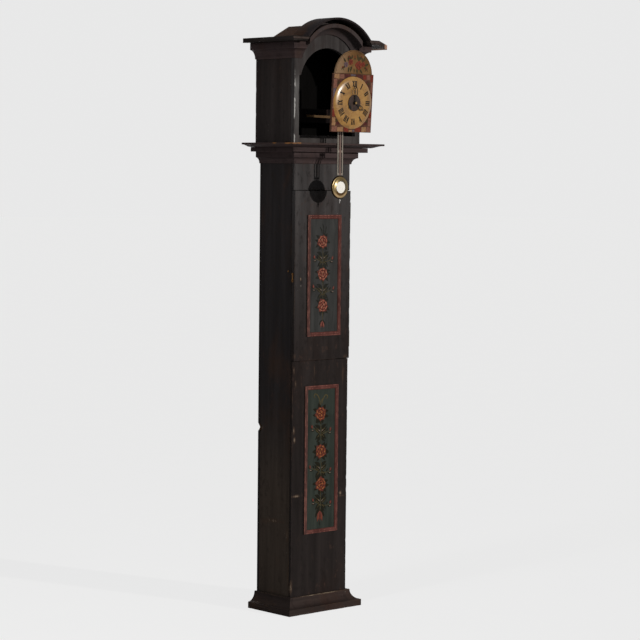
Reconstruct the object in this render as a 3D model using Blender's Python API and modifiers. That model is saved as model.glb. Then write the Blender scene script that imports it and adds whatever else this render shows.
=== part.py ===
"""Longcase clock: a tall painted softwood case with an arched hood, and a small weight-driven
clock whose painted dial, movement and pendulum stand forward of the hood on a plank.

Metres, +Z up, front towards -Y. The origin is on the floor under the middle of the plinth.
"""

import math

import bmesh
import bpy
from mathutils import Matrix

# Fits and edges
FIT_GAP = 0.0003
RUNNING_GAP = 0.0003
DOOR_PLAY = 0.0010
BOARD_EDGE = 0.0010

# Trunk
TRUNK_WIDTH = 0.280
TRUNK_DEPTH = 0.190
SIDE_BOARD = 0.018
FRONT_BOARD = 0.011
BACK_BOARD = 0.010
BASE_BOARD = 0.018
LOWER_BOARD_HEIGHT = 0.939
DOOR_HEIGHT = 0.6305
FRIEZE_HEIGHT = 0.158
DOOR_THICKNESS = 0.0175

# Plinth moulding round the foot of the trunk
PLINTH_OUT = 0.0425
PLINTH_HEIGHT = 0.062
PLINTH_FACE = 0.024
PLINTH_LIP = 0.011

# Painted panels framed by applied mouldings
PANEL_SHIFT = 0.0065
PANEL_WIDTH = 0.168
DOOR_PANEL_RISE = 0.0903
DOOR_PANEL_HEIGHT = 0.4497
LOWER_PANEL_RISE = 0.2909
LOWER_PANEL_HEIGHT = 0.5537
PANEL_STRIP_WIDTH = 0.015
PANEL_STRIP_PROUD = 0.005

# Cornice under the shelf
CORNICE_TOE = 0.004
COVE_HEIGHT = 0.0225
COVE_OUT = 0.022
BAND_HEIGHT = 0.021
FILLET_HEIGHT = 0.017
FILLET_OUT = 0.047
SHELF_THICKNESS = 0.0155
SHELF_EDGE = 0.007
SHELF_OUT = 0.0912

# Hood
HOOD_OUT = 0.025
HOOD_BOARD = 0.018
HOOD_WALL_HEIGHT = 0.367
SILL_HEIGHT = 0.028
STILE_WIDTH = 0.024
SPRING_BELOW_EAVES = 0.121
SPRING_SHOULDER = 0.0083
ARCH_DROP = 0.034
EAVES_THICKNESS = 0.0165
EAVES_KNEE = 0.034
LEFT_EAVES_OUT = 0.064
LEFT_EAVES_SAG = 0.001
RIGHT_EAVES_OUT = 0.075
RIGHT_EAVES_SAG = 0.015
ROOF_FRONT_OUT = 0.0646
ROOF_INSET = 0.0042
ROOF_DROP = 0.110
ROOF_THICKNESS = 0.0075
ROOF_FRONT_DEPTH = 0.090
VAULT_THICKNESS = 0.0115
VAULT_TOP_HALF = 0.042
VAULT_RISE = 0.0662
HOOD_BACK_INSET = 0.043
ARCH_MOULDING_DROP = 0.0145
ARCH_MOULDING_WIDTH = 0.0388
ARCH_MOULDING_OUT = 0.046
ARCH_MOULDING_TOE = 0.005
ARCH_MOULDING_BAND = 0.0145
HOOD_CORNICE_HEIGHT = 0.060
HOOD_CORNICE_TOE = 0.004
HOOD_CORNICE_OUT = 0.029
HOOD_CORNICE_BAND = 0.026
ARCH_END = math.radians(21.4)

# Trunk door hinges and latch
HINGE_HEIGHT = 0.060
HINGE_INSET = 0.075
KNUCKLE_RADIUS = 0.0030
KNUCKLE_GAP = 0.0004
PIN_RADIUS = 0.0013
PIN_HEAD_RADIUS = 0.0026
PIN_HEAD = 0.0015
LEAF_THICKNESS = 0.0015
LEAF_WIDTH = 0.0125
LATCH_RISE = 0.323
LATCH_PIVOT_BACK = 0.009
LATCH_STUD_BACK = 0.0227
LATCH_STUD_RISE = 0.0094
LATCH_STEM_RADIUS = 0.0014
LATCH_HEAD_RADIUS = 0.0032
LATCH_HEAD = 0.0012
HOOK_THICKNESS = 0.0016
HOOK_STANDOFF = 0.0008
HOOK_EYE_RADIUS = 0.0045
HOOK_SHANK_WIDTH = 0.005
HOOK_END_WIDTH = 0.0084
HOOK_NOSE = 0.006

# Clock head: dial centre above the shelf, and how far the whole head leans forward
DIAL_RISE = 0.147
HEAD_TILT = math.radians(3.3)
DIAL_WIDTH = 0.200
DIAL_BELOW = 0.107
DIAL_SHOULDER = 0.1045
DIAL_ABOVE = 0.1906
DIAL_ARCH_RADIUS = 0.092
DIAL_THICKNESS = 0.008
CHAPTER_RADIUS = 0.095
CHAPTER_RIM = 0.0052
CHAPTER_CROWN = 0.0088
ALARM_RADIUS = 0.030
ALARM_POINT = 0.004
ALARM_POINT_ANGLE = math.radians(232)
HAND_THICKNESS = 0.0012
HAND_SPACING = 0.0022
MINUTE_HAND_LENGTH = 0.062
HOUR_HAND_LENGTH = 0.052
HAND_LOOP_WIDTH = 0.016
HAND_LIMB = 0.0024
HAND_STEM_WIDTH = 0.005
HOUR_ANGLE = math.radians(120)
PIPE_WALL = 0.0012
HAND_NUT_RADIUS = 0.0048
HAND_NUT_HEIGHT = 0.0035

# Movement: plates, train and escapement
PLATE_THICKNESS = 0.006
PLATE_SPACE = 0.0292
PLATE_WIDTH = 0.100
PLATE_HEADROOM = 0.016
PLATE_TONGUE_WIDTH = 0.066
PLATE_TONGUE_DROP = 0.018
PILLAR_RADIUS = 0.003
PILLAR_INSET = 0.008
ARBOR_RADIUS = 0.0015
WHEEL_THICKNESS = 0.002
PINION_OVERRUN = 0.0012
GREAT_TEETH = 60
CENTRE_LEAVES = 10
GREAT_MODULE = 0.0010
CENTRE_TEETH = 64
THIRD_LEAVES = 8
CENTRE_MODULE = 0.0008
THIRD_TEETH = 72
ESCAPE_LEAVES = 6
THIRD_MODULE = 0.0007
ESCAPE_TEETH = 30
ESCAPE_RADIUS = 0.015
ESCAPE_TOOTH = 0.003
ANCHOR_DISTANCE = 0.022
PALLET_CLEARANCE = 0.0015
ANCHOR_DEPTH = 0.0095
THIRD_LEAN = math.radians(14.5)
GREAT_LAYER = 0.0020
CENTRE_LAYER = 0.0092
THIRD_LAYER = 0.0162
ESCAPE_LAYER = 0.0232
SPROCKET_RADIUS = 0.012
SPROCKET_LAYER = 0.0137
SPROCKET_WIDTH = 0.010
WHEEL_RIM = 0.0042
WHEEL_HUB = 0.0060
SPOKE_WIDTH = 0.0040
SPOKES = 4
WHEEL_TOOTH = (0.8, 1.25, 0.27, 0.10)
PINION_LEAF = (0.7, 1.25, 0.22, 0.10)

# Pendulum and its suspension
PENDULUM_CLEARANCE = 0.0026
SUSPENSION_SETBACK = 0.0183
PENDULUM_LENGTH = 0.388
ROD_THICKNESS = 0.0024
EYE_LIP = 0.0006
SUSPENSION_PIN_RADIUS = 0.0012
ROD_WIDTH = 0.027
WIRE_WIDTH = 0.0045
CORE_WIDTH = 0.008
GRID_TOP = 0.110
GRID_MIDDLE = 0.257
GRID_BAR = 0.008
CRUTCH_LENGTH = 0.040
CRUTCH_WIDTH = 0.004
CRUTCH_THICKNESS = 0.0025
CRUTCH_CLEARANCE = 0.0010
CRUTCH_PIN_RADIUS = 0.0012
CRUTCH_SLOT_WIDTH = 0.0042
CRUTCH_SLOT_HEIGHT = 0.020
BOB_RADIUS = 0.0425
BOB_THICKNESS = 0.011
BOB_RIM = 0.0040
BOB_CLEAR_OF_GRID = 0.0015
ENAMEL_RADIUS = 0.0215
ENAMEL_THICKNESS = 0.0022
ENAMEL_PROFILE = ((0.0, 1.0), (0.6, 0.88), (0.92, 0.65), (1.0, 0.3), (1.0, 0.0), (0.0, 0.0))
STEM_RADIUS = 0.0015
NUT_RADIUS = 0.0038
NUT_HEIGHT = 0.019
NUT_PROFILE = ((0, 0), (0.6, 0), (1, 0.14), (1, 0.36), (0.5, 0.55), (0.35, 0.8), (0, 1))
NUT_THREAD = 0.008
COCK_WIDTH = 0.012
COCK_ARM = 0.006
COCK_TONGUE = 0.0035

# Plank that carries the head, and the rail it is tenoned into
PLANK_WIDTH = 0.110
PLANK_THICKNESS = 0.008
PLANK_DROP = 0.0524
PLANK_TENON = 0.025
FORK_SLOT_WIDTH = 0.068
FORK_SLOT_BEHIND = 0.020
RAIL_SETBACK = 0.032
RAIL_THICKNESS = 0.035
RAIL_HEIGHT = 0.050

# Finishes: colour, roughness, metallic
EBONY_PAINT = ("ebony_paint", (0.030, 0.026, 0.027), 0.50, 0.0)
BARE_WOOD = ("bare_wood", (0.110, 0.062, 0.034), 0.75, 0.0)
RAW_PINE = ("raw_pine", (0.340, 0.200, 0.105), 0.70, 0.0)
RED_PAINT = ("red_paint", (0.180, 0.052, 0.040), 0.55, 0.0)
DIAL_PAINT = ("dial_paint", (0.420, 0.230, 0.110), 0.40, 0.0)
CHAPTER_PAINT = ("chapter_paint", (0.560, 0.400, 0.180), 0.25, 0.0)
PLATE_WOOD = ("plate_wood", (0.220, 0.130, 0.065), 0.65, 0.0)
BRASS = ("brass", (0.620, 0.440, 0.190), 0.30, 1.0)
STEEL = ("steel", (0.300, 0.290, 0.280), 0.35, 1.0)
DARK_IRON = ("dark_iron", (0.040, 0.036, 0.034), 0.45, 0.6)
ENAMEL = ("enamel", (0.780, 0.760, 0.700), 0.15, 0.0)

# Places worked out from the dimensions
HALF_WIDTH = TRUNK_WIDTH / 2
FRONT_Y = -(TRUNK_DEPTH - PLINTH_OUT) / 2
BACK_Y = FRONT_Y + TRUNK_DEPTH
SIDE_FRONT_Y = FRONT_Y + FRONT_BOARD
SIDE_BACK_Y = BACK_Y - BACK_BOARD
DOOR_BACK_Y = SIDE_FRONT_Y - FIT_GAP
DOOR_FRONT_Y = DOOR_BACK_Y - DOOR_THICKNESS
INNER_HALF = HALF_WIDTH - SIDE_BOARD
DOOR_TOP = LOWER_BOARD_HEIGHT + DOOR_HEIGHT
TRUNK_TOP = DOOR_TOP + FRIEZE_HEIGHT
SHELF_TOP = TRUNK_TOP + SHELF_THICKNESS
HOOD_HALF = HALF_WIDTH + HOOD_OUT
HOOD_INNER = HOOD_HALF - HOOD_BOARD
HOOD_FRONT_Y = FRONT_Y - HOOD_OUT
HOOD_REAR_OF_FRONT_Y = HOOD_FRONT_Y + HOOD_BOARD
EAVES_BOTTOM = SHELF_TOP + HOOD_WALL_HEIGHT
EAVES_TOP = EAVES_BOTTOM + EAVES_THICKNESS
ROOF_CENTRE = EAVES_BOTTOM - ROOF_DROP
ROOF_FRONT_Y = HOOD_FRONT_Y - ROOF_FRONT_OUT
VAULT_PITCH = math.atan2(VAULT_RISE, HOOD_HALF - VAULT_TOP_HALF)
HOOD_BACK_Y = BACK_Y - HOOD_BACK_INSET
HEAD_RADIUS = math.hypot(HOOD_HALF - ROOF_INSET, ROOF_DROP)
ARCH_RADIUS = HEAD_RADIUS - ARCH_MOULDING_DROP
ARCH_INNER = ARCH_RADIUS - ARCH_MOULDING_WIDTH
RETURN_X = ARCH_INNER * math.cos(ARCH_END)

HINGE_X = HALF_WIDTH + FIT_GAP + KNUCKLE_RADIUS
HINGE_Y = (SIDE_FRONT_Y + DOOR_BACK_Y) / 2
LATCH_Y = DOOR_FRONT_Y + LATCH_PIVOT_BACK
LATCH_Z = LOWER_BOARD_HEIGHT + LATCH_RISE
LATCH_REACH = math.hypot(LATCH_STUD_BACK, LATCH_STUD_RISE)

FRONT_PLATE_Y = DIAL_THICKNESS + FIT_GAP
TRAIN_Y = FRONT_PLATE_Y + PLATE_THICKNESS
BACK_PLATE_Y = TRAIN_Y + PLATE_SPACE
REAR_FACE_Y = BACK_PLATE_Y + PLATE_THICKNESS
GREAT_DISTANCE = GREAT_MODULE * (GREAT_TEETH + CENTRE_LEAVES) / 2
THIRD_DISTANCE = CENTRE_MODULE * (CENTRE_TEETH + THIRD_LEAVES) / 2
ESCAPE_DISTANCE = THIRD_MODULE * (THIRD_TEETH + ESCAPE_LEAVES) / 2
GREAT_PLACE = (0.0, -GREAT_DISTANCE)
CENTRE_PLACE = (0.0, 0.0)
THIRD_PLACE = (THIRD_DISTANCE * math.sin(THIRD_LEAN), THIRD_DISTANCE * math.cos(THIRD_LEAN))
ESCAPE_PLACE = (0.0, THIRD_PLACE[1] + math.sqrt(ESCAPE_DISTANCE**2 - THIRD_PLACE[0] ** 2))
ANCHOR_PLACE = (0.0, ESCAPE_PLACE[1] + ANCHOR_DISTANCE)
SUSPENSION_Y = REAR_FACE_Y + SUSPENSION_SETBACK

PENDULUM_Y = FRONT_Y - SHELF_OUT - PENDULUM_CLEARANCE - ROD_THICKNESS / 2
TILT_COS = math.cos(HEAD_TILT)
TILT_SIN = math.sin(HEAD_TILT)
HEAD_Y = PENDULUM_Y - SUSPENSION_Y * TILT_COS + ANCHOR_PLACE[1] * TILT_SIN
HEAD_Z = SHELF_TOP + DIAL_RISE
SUSPENSION_Z = HEAD_Z + SUSPENSION_Y * TILT_SIN + ANCHOR_PLACE[1] * TILT_COS
PLANK_MIDDLE = -PLANK_DROP - PLANK_THICKNESS / 2
RAIL_Y = (FRONT_Y + RAIL_SETBACK - HEAD_Y + PLANK_MIDDLE * TILT_SIN) / TILT_COS

MINUTE_BORE = ARBOR_RADIUS + RUNNING_GAP
MINUTE_PIPE = MINUTE_BORE + PIPE_WALL
HOUR_BORE = MINUTE_PIPE + RUNNING_GAP
HOUR_PIPE = HOUR_BORE + PIPE_WALL
ALARM_BORE = HOUR_PIPE + RUNNING_GAP
ALARM_PIPE = ALARM_BORE + PIPE_WALL
DIAL_HOLE = ALARM_PIPE + RUNNING_GAP
ALARM_FACE = CHAPTER_CROWN + HAND_SPACING
HOUR_FACE = ALARM_FACE + HAND_SPACING + HAND_THICKNESS
MINUTE_FACE = HOUR_FACE + HAND_SPACING + HAND_THICKNESS

# Views in which a flat outline is drawn
PLAN = Matrix.Identity(4)
FRONT = Matrix.Rotation(math.radians(90), 4, "X")
SIDE = Matrix.Rotation(math.radians(90), 4, "Z") @ FRONT

ARC_STEPS = 28
ROUND_STEPS = 32
SMALL_ROUND_STEPS = 12
SMOOTH_ANGLE = math.radians(35)

for old in list(bpy.data.objects):
    bpy.data.objects.remove(old)


def collection(name, hidden):
    made = bpy.data.collections.new(name)
    bpy.context.scene.collection.children.link(made)
    made.hide_render = hidden
    return made


PARTS = collection("longcase_clock", hidden=False)
CUTTERS = collection("longcase_clock_cutters", hidden=True)


def finish(obj, paint):
    """Gives an object its finish, as a material of its own kind."""
    name, colour, roughness, metallic = paint
    material = bpy.data.materials.get(name)
    if material is None:
        material = bpy.data.materials.new(name)
        material.use_nodes = True
        shader = material.node_tree.nodes["Principled BSDF"]
        shader.inputs["Base Color"].default_value = (*colour, 1.0)
        shader.inputs["Roughness"].default_value = roughness
        shader.inputs["Metallic"].default_value = metallic
    obj.data.materials.clear()
    obj.data.materials.append(material)


def part(name, mesh, paint, location=(0, 0, 0), parent=None):
    obj = bpy.data.objects.new(name, mesh)
    PARTS.objects.link(obj)
    obj.location = location
    obj.parent = parent
    finish(obj, paint)
    return obj


def frame(name, location):
    """An empty that pieces hang on: a joint's axis, or the leaning clock head."""
    empty = bpy.data.objects.new(name, None)
    PARTS.objects.link(empty)
    empty.location = location
    return empty


def hang(empty, *pieces):
    """Puts pieces on an upright frame and leaves them where they are."""
    for piece in pieces:
        piece.parent = empty
        piece.matrix_parent_inverse = Matrix.Translation(empty.location).inverted()


def cutter(obj):
    """Turns an object into a helper for a Boolean."""
    PARTS.objects.unlink(obj)
    CUTTERS.objects.link(obj)
    obj.hide_render = True
    obj.display_type = "WIRE"
    return obj


def boolean(obj, other, operation):
    modifier = obj.modifiers.new(other.name, "BOOLEAN")
    modifier.operation = operation
    modifier.solver = "EXACT"
    modifier.object = cutter(other)


def fuse(obj, *others):
    for other in others:
        boolean(obj, other, "UNION")


def cut(obj, *others):
    for other in others:
        boolean(obj, other, "DIFFERENCE")


def smooth(mesh):
    mesh.shade_smooth()
    mesh.set_sharp_from_angle(angle=SMOOTH_ANGLE)


def round_edges(obj, width=BOARD_EDGE):
    bevel = obj.modifiers.new("worn_edges", "BEVEL")
    bevel.width = width
    bevel.segments = 2
    bevel.limit_method = "ANGLE"


def board(name, low, high, paint, parent=None, edge=0.0):
    """A rectangular board between two corners."""
    size = [b - a for a, b in zip(low, high)]
    middle = [(a + b) / 2 for a, b in zip(low, high)]
    bm = bmesh.new()
    bmesh.ops.create_cube(bm, size=1.0)
    bmesh.ops.scale(bm, vec=size, verts=bm.verts)
    mesh = bpy.data.meshes.new(name)
    bm.to_mesh(mesh)
    bm.free()
    obj = part(name, mesh, paint, middle, parent)
    if edge:
        round_edges(obj, edge)
    return obj


def flat(name, loops, thickness, view, paint, location=(0, 0, 0), parent=None):
    """A flat outline, its later loops being holes, extruded evenly about its drawing plane."""
    curve = bpy.data.curves.new(name, "CURVE")
    curve.dimensions = "2D"
    curve.fill_mode = "BOTH"
    curve.extrude = thickness / 2
    for loop in loops:
        spline = curve.splines.new("POLY")
        spline.points.add(len(loop) - 1)
        for point, (x, y) in zip(spline.points, loop):
            point.co = (x, y, 0.0, 1.0)
        spline.use_cyclic_u = True
    drawn = bpy.data.objects.new(name + "_outline", curve)
    bpy.context.scene.collection.objects.link(drawn)
    graph = bpy.context.evaluated_depsgraph_get()
    mesh = bpy.data.meshes.new_from_object(drawn.evaluated_get(graph))
    bpy.data.objects.remove(drawn)
    bm = bmesh.new()
    bm.from_mesh(mesh)
    bmesh.ops.remove_doubles(bm, verts=bm.verts, dist=1e-6)
    caps = [face for face in bm.faces if len({vert.co.z > 0 for vert in face.verts}) == 1]
    inside = [edge for edge in bm.edges if all(face in caps for face in edge.link_faces)]
    bmesh.ops.beautify_fill(bm, faces=caps, edges=inside)
    bmesh.ops.recalc_face_normals(bm, faces=bm.faces)
    bm.to_mesh(mesh)
    bm.free()
    mesh.transform(view)
    smooth(mesh)
    return part(name, mesh, paint, location, parent)


def loft(name, rings, paint, closed=False, location=(0, 0, 0), parent=None):
    """A moulding: like sections joined in turn, with end caps unless the run closes on itself."""
    bm = bmesh.new()
    rows = [[bm.verts.new(point) for point in ring] for ring in rings]
    count = len(rings[0])
    pairs = list(zip(rows, rows[1:]))
    if closed:
        pairs.append((rows[-1], rows[0]))
    else:
        bm.faces.new(rows[0])
        bm.faces.new(rows[-1])
    for first, second in pairs:
        for i in range(count):
            j = (i + 1) % count
            bm.faces.new((first[i], first[j], second[j], second[i]))
    bmesh.ops.recalc_face_normals(bm, faces=bm.faces)
    mesh = bpy.data.meshes.new(name)
    bm.to_mesh(mesh)
    bm.free()
    smooth(mesh)
    return part(name, mesh, paint, location, parent)


def turned(name, profile, paint, location=(0, 0, 0), parent=None, axis="Z", ring=False, steps=ROUND_STEPS):
    """A turned piece: radius and height pairs down the outer side. Along Y, heights run to the front."""
    mesh = bpy.data.meshes.new(name)
    bm = bmesh.new()
    verts = [bm.verts.new((radius, 0.0, height)) for radius, height in profile]
    for first, second in zip(verts, verts[1:]):
        bm.edges.new((first, second))
    if ring:
        bm.edges.new((verts[-1], verts[0]))
    bm.to_mesh(mesh)
    bm.free()
    obj = part(name, mesh, paint, location, parent)
    if axis == "Y":
        obj.rotation_euler.x = math.radians(90)
    if axis == "X":
        obj.rotation_euler.y = math.radians(-90)
    screw = obj.modifiers.new("turn", "SCREW")
    screw.steps = steps
    screw.render_steps = steps
    screw.use_merge_vertices = True
    screw.merge_threshold = 1e-5
    screw.use_smooth_shade = True
    return obj


def rod(name, radius, low, high, paint, location=(0, 0, 0), parent=None, axis="Z"):
    """A plain round bar between two heights on its axis."""
    profile = [(0.0, high), (radius, high), (radius, low), (0.0, low)]
    return turned(name, profile, paint, location, parent, axis, steps=SMALL_ROUND_STEPS)


def tube(name, bore, radius, low, high, paint, location=(0, 0, 0), parent=None, axis="Z"):
    profile = [(bore, high), (radius, high), (radius, low), (bore, low)]
    return turned(name, profile, paint, location, parent, axis, ring=True, steps=SMALL_ROUND_STEPS * 2)


def arc(radius, start, end, steps, centre=(0.0, 0.0)):
    turn = (end - start) / steps
    return [
        (centre[0] + radius * math.cos(start + turn * i), centre[1] + radius * math.sin(start + turn * i))
        for i in range(steps + 1)
    ]


def circle(radius, steps, centre=(0.0, 0.0)):
    return arc(radius, 0.0, 2 * math.pi, steps, centre)[:-1]


def cove(start, end, steps=6):
    """A quarter hollow from a steep start to a level end, as pairs of out and up."""
    points = []
    for i in range(steps + 1):
        turn = math.pi / 2 * i / steps
        points.append((
            start[0] + (end[0] - start[0]) * (1 - math.cos(turn)),
            start[1] + (end[1] - start[1]) * math.sin(turn),
        ))
    return points


def ogee(start, end, steps=6):
    """An S-curve between two points, as pairs of out and up."""
    points = []
    for i in range(steps + 1):
        share = i / steps
        swing = share - math.sin(2 * math.pi * share) / (2 * math.pi)
        points.append((start[0] + (end[0] - start[0]) * share, start[1] + (end[1] - start[1]) * swing))
    return points


def run(section, corner, mitre, shift=(0.0, 0.0)):
    """One ring of a moulding: its section set out from a corner along the mitre."""
    return [
        (corner[0] + shift[0] + out * mitre[0], corner[1] + shift[1] + out * mitre[1], up)
        for out, up in section
    ]


def three_sides(stem, section, half, front, paint):
    """Front, left and right lengths of a moulding, mitred at the corners and square at the back."""
    play = FIT_GAP / 2
    left_corner, right_corner = (-half, front), (half, front)
    loft(stem + "_front", [
        run(section, left_corner, (-1, -1), (play, -play)),
        run(section, right_corner, (1, -1), (-play, -play)),
    ], paint)
    for side, name in ((-1, "_left"), (1, "_right")):
        loft(stem + name, [
            run(section, (side * half, front), (side, -1), (side * play, play)),
            run(section, (side * half, BACK_Y), (side, 0), (side * play, 0.0)),
        ], paint)


def trunk():
    """Side boards, back and the two fixed front boards, with the base board between them."""
    for side, name in ((-1, "trunk_side_left"), (1, "trunk_side_right")):
        inner, outer = sorted((side * INNER_HALF, side * HALF_WIDTH))
        board(name, (inner, SIDE_FRONT_Y, 0.0), (outer, SIDE_BACK_Y, TRUNK_TOP - FIT_GAP), EBONY_PAINT,
              edge=BOARD_EDGE)
    tongue = INNER_HALF - FIT_GAP
    shoulder, top = TRUNK_TOP - FIT_GAP, SHELF_TOP - FIT_GAP
    outline = [
        (-HALF_WIDTH, 0.0), (HALF_WIDTH, 0.0), (HALF_WIDTH, shoulder), (tongue, shoulder), (tongue, top),
        (-tongue, top), (-tongue, shoulder), (-HALF_WIDTH, shoulder),
    ]
    thickness = BACK_BOARD - FIT_GAP
    flat("trunk_back", [outline], thickness, FRONT, BARE_WOOD, (0, BACK_Y - thickness / 2, 0))
    board("base_board", (-INNER_HALF + FIT_GAP, SIDE_FRONT_Y, 0.0),
          (INNER_HALF - FIT_GAP, SIDE_BACK_Y, BASE_BOARD), BARE_WOOD)
    board("lower_front_board", (-HALF_WIDTH, FRONT_Y, 0.0),
          (HALF_WIDTH, DOOR_BACK_Y, LOWER_BOARD_HEIGHT), EBONY_PAINT, edge=BOARD_EDGE)
    board("frieze_board", (-HALF_WIDTH, FRONT_Y, DOOR_TOP),
          (HALF_WIDTH, DOOR_BACK_Y, TRUNK_TOP - FIT_GAP), EBONY_PAINT, edge=BOARD_EDGE)


def plinth():
    """Coved foot moulding on three sides of the trunk."""
    section = [(FIT_GAP, 0.0), (PLINTH_OUT, 0.0)]
    section += reversed(cove((PLINTH_LIP, PLINTH_HEIGHT), (PLINTH_OUT, PLINTH_FACE)))
    section += [(FIT_GAP, PLINTH_HEIGHT)]
    three_sides("plinth", section, HALF_WIDTH, FRONT_Y, EBONY_PAINT)


def cornice():
    """Cove, band and fillet under the shelf, and the moulded shelf that the hood stands on."""
    top = TRUNK_TOP - FIT_GAP
    fillet_foot = TRUNK_TOP - FILLET_HEIGHT
    cove_top = fillet_foot - BAND_HEIGHT
    section = [(FIT_GAP, cove_top - COVE_HEIGHT)]
    section += cove((CORNICE_TOE, cove_top - COVE_HEIGHT), (COVE_OUT, cove_top))
    section += [(COVE_OUT, fillet_foot), (FILLET_OUT, fillet_foot), (FILLET_OUT, top), (FIT_GAP, top)]
    three_sides("cornice", section, HALF_WIDTH, FRONT_Y, EBONY_PAINT)
    edge_foot = SHELF_TOP - SHELF_EDGE
    section = [(-SIDE_BOARD, TRUNK_TOP)]
    section += ogee((FILLET_OUT, TRUNK_TOP), (SHELF_OUT, edge_foot))
    section += [(SHELF_OUT, SHELF_TOP), (-SIDE_BOARD, SHELF_TOP)]
    three_sides("shelf", section, HALF_WIDTH, FRONT_Y, EBONY_PAINT)
    board("shelf_back", (-INNER_HALF + FIT_GAP, HOOD_BACK_Y - BACK_BOARD, TRUNK_TOP),
          (INNER_HALF - FIT_GAP, SIDE_BACK_Y - FIT_GAP, SHELF_TOP), BARE_WOOD)


def panel_moulding(name, rise, height, face, paint):
    """A mitred frame of four strips, planted on the face of a board."""
    width, proud = PANEL_STRIP_WIDTH, PANEL_STRIP_PROUD
    section = [
        (0.0, 0.0), (0.0, proud * 0.55), (width * 0.22, proud), (width * 0.70, proud),
        (width, proud * 0.40), (width, 0.0),
    ]
    rings = []
    for across, up in ((-1, -1), (1, -1), (1, 1), (-1, 1)):
        x = PANEL_SHIFT + across * PANEL_WIDTH / 2
        z = rise + (height if up > 0 else 0.0)
        rings.append([
            (x - across * inward, face - FIT_GAP - out, z - up * inward) for inward, out in section
        ])
    return loft(name, rings, paint, closed=True)


def door(door_frame):
    """The plain overlay door between the two fixed front boards, and the two panel frames."""
    leaf = board("trunk_door", (-HALF_WIDTH, DOOR_FRONT_Y, LOWER_BOARD_HEIGHT + DOOR_PLAY),
                 (HALF_WIDTH, DOOR_BACK_Y, DOOR_TOP - DOOR_PLAY), EBONY_PAINT, edge=BOARD_EDGE)
    strips = panel_moulding("door_panel_moulding", LOWER_BOARD_HEIGHT + DOOR_PANEL_RISE, DOOR_PANEL_HEIGHT,
                            DOOR_FRONT_Y, RED_PAINT)
    hang(door_frame, leaf, strips)
    panel_moulding("lower_panel_moulding", LOWER_PANEL_RISE, LOWER_PANEL_HEIGHT, FRONT_Y, RED_PAINT)


def hinge_leaf(name, middle, side, knuckles):
    """One leaf on the right-hand edge: side is -1 on the door and 1 on the case."""
    near, far = HALF_WIDTH + FIT_GAP, HALF_WIDTH + FIT_GAP + LEAF_THICKNESS
    root = HINGE_Y + side * (KNUCKLE_RADIUS + FIT_GAP)
    tip = root + side * LEAF_WIDTH
    overlap = LEAF_THICKNESS / 2
    half = HINGE_HEIGHT / 2
    leaf = board(name, (near, min(root, tip), middle - half), (far, max(root, tip), middle + half), BRASS)
    bore = PIN_RADIUS + RUNNING_GAP
    for low, high in knuckles:
        inner, outer = sorted((HINGE_Y + side * bore, root + side * overlap))
        tab = board(name + "_tab", (near, inner, middle + low), (far, outer, middle + high), BRASS)
        barrel = tube(name + "_barrel", bore, KNUCKLE_RADIUS, low, high, BRASS, (HINGE_X, HINGE_Y, middle))
        fuse(leaf, tab, barrel)
    return leaf


def hinges(door_frame):
    """Two butt hinges, each two leaves and a loose pin, with three knuckles between them."""
    third = HINGE_HEIGHT / 3
    half = HINGE_HEIGHT / 2
    outer = [(-half, -half + third - KNUCKLE_GAP), (half - third + KNUCKLE_GAP, half)]
    inner = [(-half + third, half - third)]
    heights = {"lower": LOWER_BOARD_HEIGHT + HINGE_INSET, "upper": DOOR_TOP - HINGE_INSET}
    for place, middle in heights.items():
        hinge_leaf(f"hinge_{place}_case_leaf", middle, 1, outer)
        hang(door_frame, hinge_leaf(f"hinge_{place}_door_leaf", middle, -1, inner))
        top = half + FIT_GAP
        cap = top + PIN_HEAD
        profile = [
            (0.0, cap), (PIN_HEAD_RADIUS * 0.7, cap), (PIN_HEAD_RADIUS, top), (PIN_RADIUS, top),
            (PIN_RADIUS, -top), (PIN_HEAD_RADIUS, -top), (PIN_HEAD_RADIUS * 0.7, -cap), (0.0, -cap),
        ]
        turned(f"hinge_{place}_pin", profile, BRASS, (HINGE_X, HINGE_Y, middle), steps=SMALL_ROUND_STEPS)


def headed_stud(name, place, paint):
    """A round stem with a wider head, standing out of the left-hand side."""
    foot = FIT_GAP
    neck = foot + HOOK_STANDOFF + HOOK_THICKNESS + FIT_GAP
    top = neck + LATCH_HEAD
    profile = [
        (0.0, top), (LATCH_HEAD_RADIUS * 0.6, top), (LATCH_HEAD_RADIUS, neck + LATCH_HEAD / 3),
        (LATCH_HEAD_RADIUS, neck), (LATCH_STEM_RADIUS, neck), (LATCH_STEM_RADIUS, foot), (0.0, foot),
    ]
    return turned(name, profile, paint, (-HALF_WIDTH, *place), axis="X", steps=SMALL_ROUND_STEPS)


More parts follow.
